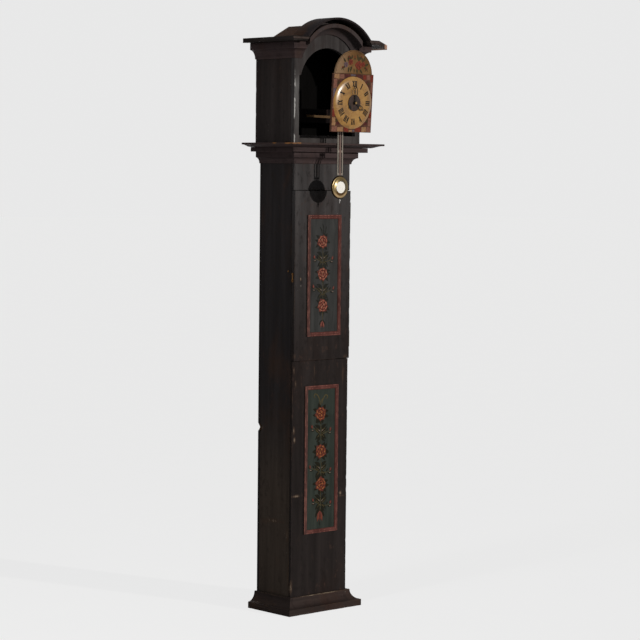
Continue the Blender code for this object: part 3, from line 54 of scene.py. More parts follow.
class Finish:
    """One shader and the nodes hung on it, patterned in the piece's own place in metres."""

    def __init__(self, name, roughness, metallic=0.0, specular=0.5):
        self.material = bpy.data.materials.new(name)
        self.material.use_nodes = True
        self.nodes = self.material.node_tree.nodes
        self.shader = self.nodes["Principled BSDF"]
        self.put(self.shader, Roughness=roughness, Metallic=metallic, Specular_IOR_Level=specular)
        self.place = self.add("ShaderNodeTexCoord").outputs["Object"]

    def join(self, socket, value):
        """Links a socket to another node's output, or sets it to a plain value or colour."""
        if isinstance(value, bpy.types.NodeSocket):
            self.material.node_tree.links.new(value, socket)
        else:
            socket.default_value = (*value, 1.0) if socket.type == "RGBA" else value

    def put(self, node, **sockets):
        """Fills a node's named inputs."""
        for key, value in sockets.items():
            self.join(node.inputs[key.replace("_", " ")], value)

    def add(self, kind, settings=None, **sockets):
        """A new node with its settings made and its inputs filled."""
        node = self.nodes.new(kind)
        for key, value in (settings or {}).items():
            setattr(node, key, value)
        self.put(node, **sockets)
        return node

    def reckon(self, kind, *values):
        node = self.add("ShaderNodeMath", {"operation": kind})
        for socket, value in zip(node.inputs, values):
            self.join(socket, value)
        return node.outputs["Value"]

    def plus(self, first, second):
        return self.reckon("ADD", first, second)

    def less(self, first, second):
        return self.reckon("SUBTRACT", first, second)

    def times(self, first, second):
        return self.reckon("MULTIPLY", first, second)

    def most(self, first, second):
        return self.reckon("MAXIMUM", first, second)

    def size(self, value):
        return self.reckon("ABSOLUTE", value)

    def ragged(self, value, pattern, amount, middle=0.0):
        """A value made uneven by a pattern that is measured from its middle."""
        return self.plus(value, self.times(self.less(pattern, middle) if middle else pattern, amount))

    def axes(self):
        """The place measured across, in depth and in height."""
        return self.add("ShaderNodeSeparateXYZ", Vector=self.place).outputs

    def distance(self, point):
        """How far each place is from a point."""
        node = self.add("ShaderNodeVectorMath", {"operation": "DISTANCE"})
        self.join(node.inputs[0], self.place)
        self.join(node.inputs[1], point)
        return node.outputs["Value"]

    def grain(self, scale, stretch=(1, 1, 1), detail=5.0, rough=0.55, warp=0.0):
        """A cloudy pattern, drawn out along the ways that are stretched least."""
        placed = self.add("ShaderNodeMapping", Vector=self.place, Scale=stretch).outputs["Vector"]
        return self.add("ShaderNodeTexNoise", Vector=placed, Scale=scale, Detail=detail, Roughness=rough,
                        Distortion=warp).outputs["Fac"]

    def spots(self, scale, size):
        """Small round spots, scattered evenly."""
        seed = self.add("ShaderNodeTexVoronoi", Vector=self.place, Scale=scale).outputs["Distance"]
        return self.step(seed, size, size * 0.5)

    def step(self, value, low, high):
        """A soft step from nothing at one value to all at another."""
        return self.add("ShaderNodeMapRange", {"interpolation_type": "SMOOTHSTEP"}, Value=value,
                        From_Min=low, From_Max=high).outputs["Result"]

    def ramp(self, value, *stops):
        """Colours in a row along a pattern, each at its own mark."""
        node = self.add("ShaderNodeValToRGB", Fac=value)
        marks = node.color_ramp.elements
        while len(marks) < len(stops):
            marks.new(0.5)
        for mark, (place, colour) in zip(marks, stops):
            mark.position = place
            mark.color = (*colour, 1.0)
        return node.outputs["Color"]

    def over(self, share, under, colour, amount=None):
        """Lays a colour over another where the share says, whole or by a set amount."""
        share = share if amount is None else self.times(share, amount)
        node = self.add("ShaderNodeMix", {"data_type": "RGBA"})
        for place, value in ((0, share), (6, under), (7, colour)):
            self.join(node.inputs[place], value)
        return node.outputs[2]

    def colour(self, socket):
        self.put(self.shader, Base_Color=socket)

    def dull(self, value, low, high):
        """Lets the roughness follow a pattern."""
        rough = self.add("ShaderNodeMapRange", Value=value, From_Min=0.25, From_Max=0.75, To_Min=low,
                         To_Max=high)
        self.put(self.shader, Roughness=rough.outputs["Result"])

    def relief(self, height, distance):
        """Raises the surface a little along a pattern."""
        bump = self.add("ShaderNodeBump", Height=height, Distance=distance, Strength=1.0)
        self.put(self.shader, Normal=bump.outputs["Normal"])

    def done(self, tint, dull, relief):
        """The finished material with its colour, its roughness and its relief."""
        self.colour(tint)
        self.dull(*dull)
        self.relief(*relief)
        return self.material

    def wear(self):
        """How far the paint is rubbed off, as the mesh says."""
        return self.add("ShaderNodeAttribute", {"attribute_name": "wear"}).outputs["Fac"]


def shown_pale(tree, tone, share, lit, output):
    """Shows a plain pale tone to the eye and in reflections, and what is lit to everything else."""
    rays = tree.nodes.new("ShaderNodeLightPath").outputs
    seen = rays["Is Camera Ray"]
    for kind, also in (("MAXIMUM", rays["Is Glossy Ray"]), ("MAXIMUM", rays["Is Transmission Ray"]),
                       ("MULTIPLY", share)):
        node = tree.nodes.new("ShaderNodeMath")
        node.operation = kind
        tree.links.new(seen, node.inputs[0])
        if isinstance(also, float):
            node.inputs[1].default_value = also
        else:
            tree.links.new(also, node.inputs[1])
        seen = node.outputs[0]
    plain = tree.nodes.new("ShaderNodeEmission")
    plain.inputs["Color"].default_value = (tone, tone, tone, 1.0)
    mix = tree.nodes.new("ShaderNodeMixShader")
    for source, socket in ((seen, mix.inputs[0]), (lit, mix.inputs[1]), (plain.outputs[0], mix.inputs[2]),
                           (mix.outputs[0], output)):
        tree.links.new(source, socket)


room_tone, room_share = 0.81, 1.0
world = bpy.data.worlds.new("pale_room")
world.use_nodes = True
scene.world = world
sky = world.node_tree.nodes["Background"]
sky.inputs["Color"].default_value = (0.92, 0.96, 1.0, 1.0)
sky.inputs["Strength"].default_value = 0.055
shown_pale(world.node_tree, room_tone, room_share, sky.outputs[0],
           world.node_tree.nodes["World Output"].inputs["Surface"])

floor_tone, floor_share, reach = 0.985, 0.78, 60.0
floor_paint = Finish("pale_floor", 0.8, specular=0.1)
floor_paint.colour(floor_paint.ramp(floor_paint.grain(3.0), (0.3, (0.80, 0.80, 0.80)),
                                    (0.7, (0.84, 0.84, 0.83))))
shown_pale(floor_paint.material.node_tree, floor_tone, floor_share, floor_paint.shader.outputs[0],
           floor_paint.nodes["Material Output"].inputs["Surface"])
floor_mesh = bpy.data.meshes.new("floor")
floor_mesh.from_pydata([(-reach, -reach, 0), (reach, -reach, 0), (reach, reach, 0), (-reach, reach, 0)], [],
                       [(0, 1, 2, 3)])
floor_mesh.materials.append(floor_paint.material)
floor = bpy.data.objects.new("floor", floor_mesh)
scene.collection.objects.link(floor)


def lamp(name, kind, energy):
    """A light, put in the room."""
    light = bpy.data.objects.new(name, bpy.data.lights.new(name, kind))
    light.data.energy = energy
    scene.collection.objects.link(light)
    return light


def pointed(travel):
    """The turn that points a light along a way."""
    return travel.to_track_quat("-Z", "Y").to_euler()


sun = lamp("low_daylight", "SUN", 2.7)
sun.data.angle = math.radians(1.6)
sun.data.color = (1.0, 0.97, 0.92)
sun.rotation_euler = pointed(Vector((-0.273, 0.945, -0.166)))

window_foot, window_head = Vector((-3.4, -0.50, 1.1)), Vector((-0.9, -0.30, 4.9))
window_middle, window_rise = (window_foot + window_head) / 2, window_head - window_foot
window = lamp("left_window", "AREA", 30.0)
window.data.shape = "RECTANGLE"
window.data.size, window.data.size_y = 0.16, window_rise.length
window_up = window_rise.normalized()
window_back = (window_middle - Vector((0, -0.23, 1.89))).normalized()
window_back = (window_back - window_up * window_back.dot(window_up)).normalized()
window_axes = Matrix((window_up.cross(window_back), window_up, window_back))
window.matrix_world = Matrix.Translation(window_middle) @ window_axes.transposed().to_4x4()

rear = lamp("rear_window", "AREA", 60.0)
rear.data.size = 2.4
rear.location = Vector((2.0, 3.6, 1.5))
rear.rotation_euler = pointed(Vector((0, 0.1, 1.1)) - rear.location)
past_rear = bpy.data.collections.new("past_rear_window")
past_rear.objects.link(floor)
rear.light_linking.receiver_collection = past_rear
past_rear.collection_objects[0].light_linking.link_state = "EXCLUDE"

film_width, focal_pixels, picture_pixels = 36.0, 2242.8, 640
yaw, pitch, roll = math.radians(42.607), math.radians(3.737), math.radians(0.5687)
camera = bpy.data.objects.new("camera", bpy.data.cameras.new("camera"))
camera.data.sensor_width = film_width
camera.data.lens = focal_pixels / picture_pixels * film_width
camera.data.clip_end = 200.0
ahead = Vector((math.sin(yaw), math.cos(yaw), 0.0))
aside = Vector((math.cos(yaw), -math.sin(yaw), 0.0))
plumb = Vector((0, 0, 1))
look = ahead * math.cos(pitch) - plumb * math.sin(pitch)
top = plumb * math.cos(pitch) + ahead * math.sin(pitch)
level = aside * math.cos(roll) + top * math.sin(roll)
top = top * math.cos(roll) - aside * math.sin(roll)
turn = Matrix((level, top, -look)).transposed().to_4x4()
camera.matrix_world = Matrix.Translation((-5.6383, -6.1992, 1.6318)) @ turn
scene.collection.objects.link(camera)
scene.camera = camera

# Trunk boards: two tall sides, a front board below the door and a frieze board above it.
# Planed softwood under several coats of black-brown paint, glued and nailed edge to face, with the
# paint rubbed through to brown along the arrises and scraped where things have knocked against it.
gap = 0.0003
half_width, front_y, back_y = 0.140, -0.07375, 0.11625


def place(piece, body, slot, *nodes):
    """Hangs a piece on its body and hides the solids that it stands for; its slot is not used."""
    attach(piece, body)
    if nodes:
        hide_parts(*nodes)
    return piece


def as_piece(name, points, faces, material, wear=None, sharp=38.0):
    """A mesh put in the room, smooth but for its sharp edges, marked with its wear."""
    mesh = bpy.data.meshes.new(name)
    mesh.from_pydata(points, [], faces)
    mesh.materials.append(material)
    if wear:
        mesh.attributes.new("wear", "FLOAT", "POINT").data.foreach_set("value", wear)
    mesh.shade_smooth()
    mesh.set_sharp_from_angle(angle=math.radians(sharp))
    piece = bpy.data.objects.new(name, mesh)
    scene.collection.objects.link(piece)
    return piece


def knocked(point, scuffs):
    """How far the paint is gone at a point, from the scuffs round it: centre, reach and strength."""
    worst = 0.0
    for centre, spread, strength in scuffs:
        away = sum(((a - b) / r) ** 2 for a, b, r in zip(point, centre, spread))
        worst = max(worst, strength * math.exp(-away))
    return worst


def worn_board(name, node, material, body="case", cell=0.008, edge=0.0016, scuffs=(), rubbed=0.5, chips=()):
    """A planed board in a solid's place: eased and nicked arrises, and faces that are not quite flat."""
    rub_width, arris_reach, nick_depth, swell_depth, chip_depth = 0.0025, 0.0022, 0.0030, 0.0003, 0.005
    low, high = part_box(node)
    marks = []
    for start, end in zip(low, high):
        count = max(2, round((end - start) / cell))
        inner = [start + edge + (end - start - 2 * edge) * i / count for i in range(count + 1)]
        rub = min(rub_width, (inner[1] - inner[0]) * 0.5)
        inner = [inner[0], inner[0] + rub] + inner[1:-1] + [inner[-1] - rub, inner[-1]]
        marks.append([start, start + edge * 0.45] + inner + [end - edge * 0.45, end])
    ids, points, wear = {}, [], []

    def corner(key):
        """The number of the point at these three marks, made when it is first asked for."""
        if key in ids:
            return ids[key]
        spot = Vector([marks[axis][i] for axis, i in enumerate(key)])
        core = Vector([min(max(v, a + edge), b - edge) for v, a, b in zip(spot, low, high)])
        out = spot - core
        if out.length > 0:
            out.normalize()
            spot = core + out * edge
        near = sorted(min(v - a, b - v) for v, a, b in zip(spot, low, high))[1]
        arris = math.exp(-((near / arris_reach) ** 2))
        nick = max(0.0, noise.noise(spot * 42.0) - 0.12) * nick_depth * arris
        swell = noise.noise(spot * 5.0) * swell_depth
        bite = knocked(spot, chips)
        points.append(spot - out * (nick + edge * 0.1 + swell + bite * chip_depth))
        wear.append(max(arris * rubbed, knocked(spot, scuffs)))
        ids[key] = len(points) - 1
        return ids[key]

    faces = []
    sizes = [len(row) - 1 for row in marks]
    for axis in range(3):
        first, second = (axis + 1) % 3, (axis + 2) % 3
        for side in (0, sizes[axis]):
            for i in range(sizes[first]):
                for j in range(sizes[second]):
                    loop = []
                    for di, dj in ((0, 0), (1, 0), (1, 1), (0, 1)):
                        key = [0, 0, 0]
                        key[axis], key[first], key[second] = side, i + di, j + dj
                        loop.append(corner(tuple(key)))
                    faces.append(loop if side else loop[::-1])
    return place(as_piece(name, points, faces, material, wear), body, "ebony_paint", node)


def shaded(colour, share):
    return tuple(v * share for v in colour)


def ebony(name, along, low, high=None, inside_shade=None, fade=(0.90, 1.60),
          raw=((0.095, 0.066, 0.046), (0.220, 0.172, 0.128))):
    """Black-brown paint, brushed along one way, browner low down, rubbed through to wood where worn."""
    thinned, scraped = (0.056, 0.036, 0.026), (0.050, 0.030, 0.024)
    speck, darker_black = (0.150, 0.135, 0.120), (0.0014, 0.0012, 0.0011)
    paint = Finish(name, 0.55, specular=0.02)
    streak = paint.grain(2.0, along, 6.0, 0.60, 0.25)
    fine = paint.grain(26.0, along, 4.0)
    blotch = paint.grain(4.2, (1, 1, 0.55), 6.0, 0.62)
    cloth = paint.grain(60.0, (1, 1, 0.5), 4.0, 0.6)
    across, _, height = paint.axes()
    shades = (0.26, 0.58), (0.44, 0.84), (0.58, 1.10), (0.76, 1.50)
    brushed = [paint.ramp(streak, *((at, shaded(tint, share)) for at, share in shades))
               for tint in (low, high or low)]
    tint = paint.over(paint.step(height, *fade), *brushed)
    tint = paint.over(paint.step(blotch, 0.50, 0.72), tint, (low[0] * 1.10, low[1] * 0.78, low[2] * 0.64),
                      0.60)
    tint = paint.over(paint.step(cloth, 0.54, 0.70), tint, shaded(low, 0.42), 0.45)
    fleck = paint.times(paint.step(cloth, 0.42, 0.32), paint.step(blotch, 0.44, 0.56))
    tint = paint.over(fleck, tint, scraped, 0.40)
    gone = paint.ragged(paint.ragged(paint.wear(), fine, 1.7, 0.5), blotch, 1.4, 0.5)
    bare = paint.step(gone, 0.90, 1.15)
    tint = paint.over(paint.step(gone, 0.45, 0.80), tint, thinned, 0.75)
    tint = paint.over(bare, tint, paint.ramp(fine, (0.3, raw[0]), (0.7, raw[1])))
    specks = paint.times(paint.spots(75.0, 0.15), paint.step(paint.grain(11.0), 0.62, 0.70))
    tint = paint.over(specks, tint, speck)
    # Inside the hood the faces go near black: painted shade for the dark inside of the hood.
    if inside_shade:
        tint = paint.over(paint.step(paint.size(across), inside_shade, inside_shade - 0.0015), tint, darker_black)
    paint.colour(tint)
    paint.dull(blotch, 0.45, 0.66)
    relief = paint.plus(paint.times(streak, 0.7), paint.times(fine, 0.3))
    paint.relief(paint.less(relief, paint.times(bare, 0.25)), 0.0003)
    return paint.material


scuff_depth = 0.02


def on_face(face, *marks):
    """Scuffs on a board's front: each has its place, its reach across and up, and its strength."""
    return [((x, face, z), (run, scuff_depth, rise), strength) for x, z, run, rise, strength in marks]


up_grain = (13.0, 13.0, 0.7)
# The front boards go from a darker colour at the foot to a lighter one up on the door and frieze: painted
# light, for the daylight falling off towards the floor.
front_boards = ebony("ebony_front", up_grain, (0.0180, 0.0142, 0.0136), (0.0500, 0.0460, 0.0465))
side_boards = ebony("ebony_side", up_grain, (0.0500, 0.0375, 0.0300), (0.0235, 0.0205, 0.0210),
                    fade=(0.40, 0.85))
side_scuffs = [((-half_width, y, z), (scuff_depth, run, rise), strength) for y, z, run, rise, strength in (
    (0.030, 0.338, 0.075, 0.013, 1.08), (0.070, 0.330, 0.030, 0.020, 1.02),
    (0.098, 0.681, 0.010, 0.012, 1.20),
    (-0.052, 0.290, 0.014, 0.040, 0.95), (-0.060, 0.150, 0.012, 0.100, 0.90),
    (0.000, 0.190, 0.020, 0.050, 0.75),
    (0.020, 0.072, 0.080, 0.012, 0.75),
)]
side_chips = [((-half_width, 0.107, 0.681), (0.012, 0.012, 0.013), 1.3),
              ((-half_width, 0.107, 0.520), (0.010, 0.008, 0.010), 0.5)]
lower_scuffs = on_face(
    front_y, (-0.118, 0.438, 0.024, 0.006, 1.30), (0.114, 0.421, 0.024, 0.004, 1.20),
    (0.108, 0.431, 0.009, 0.009, 1.45), (-0.129, 0.682, 0.007, 0.020, 1.05),
    (-0.127, 0.648, 0.006, 0.014, 1.30),
    (-0.124, 0.856, 0.005, 0.018, 1.00), (-0.131, 0.905, 0.004, 0.020, 0.85),
    (-0.138, 0.095, 0.010, 0.040, 1.20),
    (0.115, 0.880, 0.008, 0.060, 0.70), (-0.030, 0.900, 0.006, 0.050, 0.60),
)
worn_board("case_side_left", "trunk_side_left", side_boards, scuffs=side_scuffs, chips=side_chips)
worn_board("case_side_right", "trunk_side_right", side_boards)
worn_board("case_front_lower", "lower_front_board", front_boards, cell=0.006, scuffs=lower_scuffs)
worn_board("case_front_frieze", "frieze_board", front_boards, cell=0.007)

# Plain inside and back boards: the base, the trunk's back, the hood's back and the shelf's back rail.
# Unpainted softwood gone brown with age and smoke, nailed on from behind. A piece has broken out of
# the trunk back's left edge, so that board is sawn to its outline.


def softwood(name, along, dark, light, roughness=0.75, painted=None, inside_shade_from=None):
    """Bare wood with its year rings and pores, dirty in patches, its edges painted, or its inside face made
    near black as painted shade.
    """
    black, inside_shade = (0.020, 0.017, 0.017), (0.0016, 0.0013, 0.0012)
    wood = Finish(name, roughness, specular=0.03)
    year = wood.grain(5.0, along, 6.0, 0.6, 1.2)
    pore = wood.grain(90.0, along, 3.0)
    tint = wood.ramp(year, (0.32, dark), (0.52, light), (0.62, dark), (0.74, light))
    tint = wood.over(wood.step(pore, 0.55, 0.75), tint, shaded(dark, 0.45), 0.5)
    tint = wood.over(wood.step(wood.grain(3.0), 0.50, 0.75), tint, shaded(dark, 0.3), 0.6)
    across, depth, _ = wood.axes()
    if painted:
        edge = wood.ragged(wood.size(across), year, 0.002)
        tint = wood.over(wood.step(edge, painted - 0.001, painted), tint, black)
    # The inside face goes near black: painted shade for the dark inside of the hood.
    if inside_shade_from:
        tint = wood.over(wood.step(depth, inside_shade_from + 0.004, inside_shade_from + 0.001), tint, inside_shade)
    return wood.done(tint, (year, roughness - 0.1, min(1.0, roughness + 0.1)),
                     (wood.plus(year, wood.times(pore, 0.4)), 0.0006))


def finish_node(node, material):
    """Gives a solid that already has the right shape its finish."""
    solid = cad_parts[node]
    solid.data.materials.clear()
    solid.data.materials.append(material)


def arc(radius, start, end, steps, centre=(0.0, 0.0)):
    """Points along a circle from one angle to another."""
    turns = [start + (end - start) * i / steps for i in range(steps + 1)]
    return [(centre[0] + radius * math.cos(t), centre[1] + radius * math.sin(t)) for t in turns]


def fretted(name, node, loops, depth, view, material, slot, body="case", ease=0.0012, steps=2):
    """A board sawn to an outline, its later loops being holes, with all its edges eased."""
    curve = bpy.data.curves.new(name, "CURVE")
    curve.dimensions = "2D"
    curve.fill_mode = "BOTH"
    curve.extrude = depth / 2 - ease
    curve.bevel_depth = ease
    curve.bevel_resolution = steps
    curve.offset = -ease
    for loop in loops:
        spline = curve.splines.new("POLY")
        spline.points.add(len(loop) - 1)
        for point, (x, y) in zip(spline.points, loop):
            point.co = (x, y, 0.0, 1.0)
        spline.use_cyclic_u = True
    drawn = bpy.data.objects.new(name + "_outline", curve)
    scene.collection.objects.link(drawn)
    mesh = bpy.data.meshes.new_from_object(drawn.evaluated_get(bpy.context.evaluated_depsgraph_get()))
    bpy.data.objects.remove(drawn)
    mesh.transform(view)
    mesh.name = name
    mesh.materials.clear()
    mesh.materials.append(material)
    mesh.shade_smooth()
    mesh.set_sharp_from_angle(angle=math.radians(40))
    piece = bpy.data.objects.new(name, mesh)
    scene.collection.objects.link(piece)
    return place(piece, body, slot, node)


def facing(y):
    """Stands a flat outline upright, facing the front, with its middle at a distance."""
    return Matrix.Translation((0, y, 0)) @ Matrix.Rotation(math.radians(90), 4, "X")


smoked = (9.0, 9.0, 0.7), (0.040, 0.021, 0.011), (0.085, 0.047, 0.026)
for node in ("base_board", "shelf_back"):
    finish_node(node, softwood("smoked_softwood_" + node, *smoked))
back_shoulder, back_top, back_tongue, back_thick, hood_back_inset = 1.7272, 1.7427, 0.1217, 0.0097, 0.053
back_outline = [
    (-half_width, 0.0), (half_width, 0.0), (half_width, back_shoulder), (back_tongue, back_shoulder),
    (back_tongue, back_top), (-back_tongue, back_top), (-back_tongue, back_shoulder),
    (-half_width, back_shoulder),
    (-half_width, 0.697), (-0.1335, 0.687), (-0.1305, 0.680), (-0.1345, 0.672), (-half_width, 0.666),
]
fretted("case_back", "trunk_back", [back_outline], back_thick, facing(back_y - back_thick / 2),
        softwood("smoked_back", *smoked, painted=half_width - 0.0015), "bare_wood", ease=0.0008)
# The hood's back is near black on its inside face: painted shade for the dark inside of the hood.
finish_node("hood_back", softwood("inside_shaded_softwood", *smoked, inside_shade_from=back_y - hood_back_inset))

# Plinth: a coved foot moulding in three lengths, run from softwood, mitred at the front corners,
# glued and nailed round the foot of the trunk and painted with it. Its top lip is rubbed brown.


def cove(start, end, steps=9):
    """A quarter hollow from a steep start to a level end, as pairs of out and up."""
    span, rise = end[0] - start[0], end[1] - start[1]
    turns = [math.pi / 2 * i / steps for i in range(steps + 1)]
    return [(start[0] + span * (1 - math.cos(t)), start[1] + rise * math.sin(t)) for t in turns]


def eased(section, ease=0.0014):
    """Rounds the corners of a section and marks each point with how much of an arris it is."""
    nearly_straight, long_side, arris_width = math.radians(150), 0.006, 0.0015
    rounded = []
    count = len(section)
    for i, spot in enumerate(section):
        here = Vector(spot)
        before, after = Vector(section[i - 1]) - here, Vector(section[(i + 1) % count]) - here
        if before.angle(after) > nearly_straight:
            rounded.append((here, 0.0))
            continue
        cut = min(ease, before.length * 0.4, after.length * 0.4)
        outer = before.x * after.y - before.y * after.x < 0
        first, last = here + before.normalized() * cut, here + after.normalized() * cut
        if before.length > long_side:
            rounded.append((here + before.normalized() * (cut + arris_width), 0.0))
        for share in (0.0, 0.33, 0.67, 1.0):
            bend = first * (1 - share) ** 2 + here * 2 * share * (1 - share) + last * share**2
            rounded.append((bend, 1.0 if outer else 0.0))
        if after.length > long_side:
            rounded.append((here + after.normalized() * (cut + arris_width), 0.0))
    return rounded


def moulding(name, node, rings, arris, material, slot="ebony_paint", body="case", closed=False, scuffs=(),
             rubbed=0.5, nick=0.0022):
    """A run of like sections, with the arrises worn and nicked along its length."""
    planed_off, swell = 0.00015, 0.00012
    points, wear, faces = [], [], []
    count = len(arris)
    for ring in rings:
        middle = sum((Vector(p) for p in ring), Vector()) / count
        for spot, edge in zip(ring, arris):
            spot = Vector(spot)
            bite = max(0.0, noise.noise(spot * 38.0) - 0.15) * nick * edge
            inward = (middle - spot).normalized()
            points.append(spot + inward * (bite + planed_off + noise.noise(spot * 9.0) * swell))
            wear.append(max(edge * rubbed, knocked(spot, scuffs)))
    pairs = [(i, i + 1) for i in range(len(rings) - 1)]
    if closed:
        pairs.append((len(rings) - 1, 0))
    else:
        faces += [list(range(count))[::-1], [count * (len(rings) - 1) + i for i in range(count)]]
    for first, second in pairs:
        for i in range(count):
            j = (i + 1) % count
            faces.append([first * count + i, first * count + j, second * count + j, second * count + i])
    return place(as_piece(name, points, faces, material, wear), body, slot, node)


def between(first, last, cell=0.010):
    """Sections at even steps from one end of a straight length to the other."""
    length = (Vector(first[0]) - Vector(last[0])).length
    steps = max(1, round(length / cell))
    return [[Vector(a).lerp(Vector(b), i / steps) for a, b in zip(first, last)] for i in range(steps + 1)]


def set_out(section, corner, mitre, shift=(0.0, 0.0)):
    """Sets a section out from a corner of the case, along the way that its mitre runs."""
    return [(corner[0] + shift[0] + p.x * mitre[0], corner[1] + shift[1] + p.x * mitre[1], p.y)
            for p, _ in section]


def three_lengths(stem, node, profile, material, scuffs=(), rubbed=0.5):
    """The front length of a moulding and its two sides, mitred together round the case."""
    section = eased(profile)
    arris = [edge for _, edge in section]
    play = gap / 2
    moulding(stem + "_front", node + "_front", between(
        set_out(section, (-half_width, front_y), (-1, -1), (play, -play)),
        set_out(section, (half_width, front_y), (1, -1), (-play, -play)),
    ), arris, material, scuffs=scuffs, rubbed=rubbed)
    for side, name in ((1, "_right"), (-1, "_left")):
        ends = [
            set_out(section, (side * half_width, back_y), (side, 0), (side * play, 0.0)),
            set_out(section, (side * half_width, front_y), (side, -1), (side * play, play)),
        ]
        moulding(stem + name, node + name, between(*(ends if side < 0 else ends[::-1])), arris, material,
                 scuffs=scuffs, rubbed=rubbed)


level_grain = (1.4, 1.4, 26.0)
level_mouldings = ebony("ebony_mouldings", level_grain, (0.0330, 0.0237, 0.0215), (0.0465, 0.0325, 0.0325))
plinth_out, plinth_lip, plinth_face, plinth_height = 0.0425, 0.011, 0.024, 0.062
plinth_profile = [(gap, 0.0), (plinth_out, 0.0)]
plinth_profile += cove((plinth_lip, plinth_height), (plinth_out, plinth_face))[::-1] + [(gap, plinth_height)]
three_lengths("foot", "plinth", plinth_profile, level_mouldings, scuffs=[
    ((0.0, front_y - plinth_lip, plinth_height), (0.20, 0.006, 0.004), 1.05),
    ((-half_width - plinth_lip, 0.0, plinth_height), (0.006, 0.15, 0.004), 0.8),
    ((-0.172, 0.0, 0.025), (0.030, 0.20, 0.040), 0.68),
])

# Cornice and shelf: a cove, a flat band and a fillet carry the moulded shelf that the hood stands on.
# Three mitred lengths of each, glued to the trunk's top, painted. The shelf's front left corner has
# been knocked, and raw orange wood shows in the chips.
trunk_top, shelf_top, board = 1.7275, 1.743, 0.018
neck_foot, neck_band, neck_fillet, neck_in, band_out, fillet_out = 1.667, 1.6895, 1.7105, 0.004, 0.022, 0.047
cornice_profile = [(gap, neck_foot)] + cove((neck_in, neck_foot), (band_out, neck_band))
cornice_profile += [(band_out, neck_fillet), (fillet_out, neck_fillet), (fillet_out, trunk_top - gap),
                    (gap, trunk_top - gap)]
three_lengths("neck", "cornice", cornice_profile, level_mouldings, rubbed=0.35)
shelf_profile, shelf_run, shelf_rise, shelf_out = [(-board, trunk_top)], 0.0442, 0.0085, 0.0912
for i in range(11):
    share = i / 10
    swing = share - math.sin(2 * math.pi * share) / (2 * math.pi)
    shelf_profile.append((fillet_out + shelf_run * share, trunk_top + shelf_rise * swing))
shelf_profile += [(shelf_out, shelf_top), (0.0820, shelf_top), (0.0700, shelf_top), (-board, shelf_top)]
shelf_chips = [
    ((-0.231, -0.066, 1.742), (0.006, 0.016, 0.006), 1.6),
    ((-0.231, -0.140, 1.742), (0.006, 0.024, 0.006), 1.5),
    ((-0.226, -0.165, 1.740), (0.008, 0.006, 0.006), 1.6),
    ((-0.200, -0.165, 1.741), (0.018, 0.006, 0.005), 1.4),
    ((-0.150, -0.165, 1.741), (0.020, 0.006, 0.004), 0.9),
]
ledge_paint = ebony("ebony_ledge", level_grain, (0.0440, 0.0310, 0.0305),
                    raw=((0.130, 0.054, 0.020), (0.330, 0.155, 0.064)))
three_lengths("ledge", "shelf", shelf_profile, ledge_paint, scuffs=shelf_chips)

# Trunk door: one plain board that closes over the trunk between the two fixed boards.
# Painted like the case. It hangs on two brass butt hinges on its right edge, and a brass hook on a
# screw in its left edge drops over a stud on the case.
door_front = -0.08055
door_scuffs = on_face(
    door_front, (-0.108, 1.243, 0.005, 0.008, 1.35), (-0.138, 0.960, 0.010, 0.020, 0.75),
    (0.119, 0.948, 0.016, 0.010, 0.70), (0.0, 0.941, 0.14, 0.003, 0.55), (-0.118, 1.100, 0.012, 0.050, 0.45),
) + [((-half_width, door_front, 1.160), (0.003, 0.004, 0.160), 0.80)]
worn_board("door_leaf", "trunk_door", front_boards, "door", cell=0.006, scuffs=door_scuffs, rubbed=0.2)


def brass(name, bright, dark, roughness=0.3, tarnish=0.5):
    """Rubbed brass, clouded and spotted with tarnish."""
    metal = Finish(name, roughness, metallic=1.0)
    cloud = metal.grain(38.0, (1, 1, 1), 6.0, 0.6)
    scratch = metal.grain(260.0, (1, 1, 0.12), 3.0)
    tint = metal.ramp(cloud, (0.25, dark), (0.50 + 0.2 * (tarnish - 0.5), bright), (0.85, bright))
    spot = metal.times(metal.spots(130.0, 0.20), metal.step(metal.grain(30.0), 0.52, 0.62))
    return metal.done(metal.over(spot, tint, shaded(dark, 0.35)), (cloud, roughness + 0.18, roughness - 0.06),
                      (scratch, 0.00004))


old_brass = brass("tarnished_brass", (0.27, 0.17, 0.07), (0.10, 0.055, 0.022), 0.34)
hinge_brass = brass("browned_brass", (0.055, 0.038, 0.022), (0.022, 0.014, 0.009), 0.45)
for height in ("upper", "lower"):
    for leaf in ("case_leaf", "door_leaf", "pin"):
        finish_node(f"hinge_{height}_{leaf}", hinge_brass)
latch_brass = brass("orange_brass", (0.095, 0.044, 0.013), (0.030, 0.013, 0.005), 0.42)
for node in ("latch_hook", "latch_screw", "latch_stud"):
    finish_node(node, latch_brass)

# Panels: on the door and on the lower board a narrow field is painted green inside a red frame.
# The frame is four mitred strips, glued and pinned on, with a lighter worn arris on either side.
panel_left, panel_right, strip = -0.0775, 0.0905, 0.015
door_panel, lower_panel = (1.0293, 1.4790), (0.2909, 0.8446)


def red_strips():
    """Brick red, dusty on the left-hand strip and lighter along its arrises, which is worn paint and also
    painted highlight on the beads.
    """
    paint = Finish("brick_red_strips", 0.55, specular=0.03)
    cloud = paint.grain(24.0, (1, 1, 0.35), 6.0, 0.6)
    fine = paint.grain(150.0, (1, 1, 0.3), 3.0)
    tint = paint.ramp(cloud, (0.28, (0.040, 0.0130, 0.0110)), (0.50, (0.082, 0.028, 0.0235)),
                      (0.74, (0.126, 0.047, 0.039)))
    # Lighter along the arrises: rubbed paint, and also painted highlight along the beads.
    gone = paint.step(paint.ragged(paint.wear(), fine, 2.0, 0.5),
                      0.40, 0.95)
    across = paint.axes()["X"]
    dusty = paint.times(paint.step(across, panel_left + 0.020, panel_left + 0.014), 0.42)
    tint = paint.over(dusty, tint, (0.050, 0.036, 0.032))
    return paint.done(paint.over(gone, tint, (0.215, 0.090, 0.071), 0.8), (cloud, 0.42, 0.66),
                      (paint.plus(cloud, fine), 0.0003))


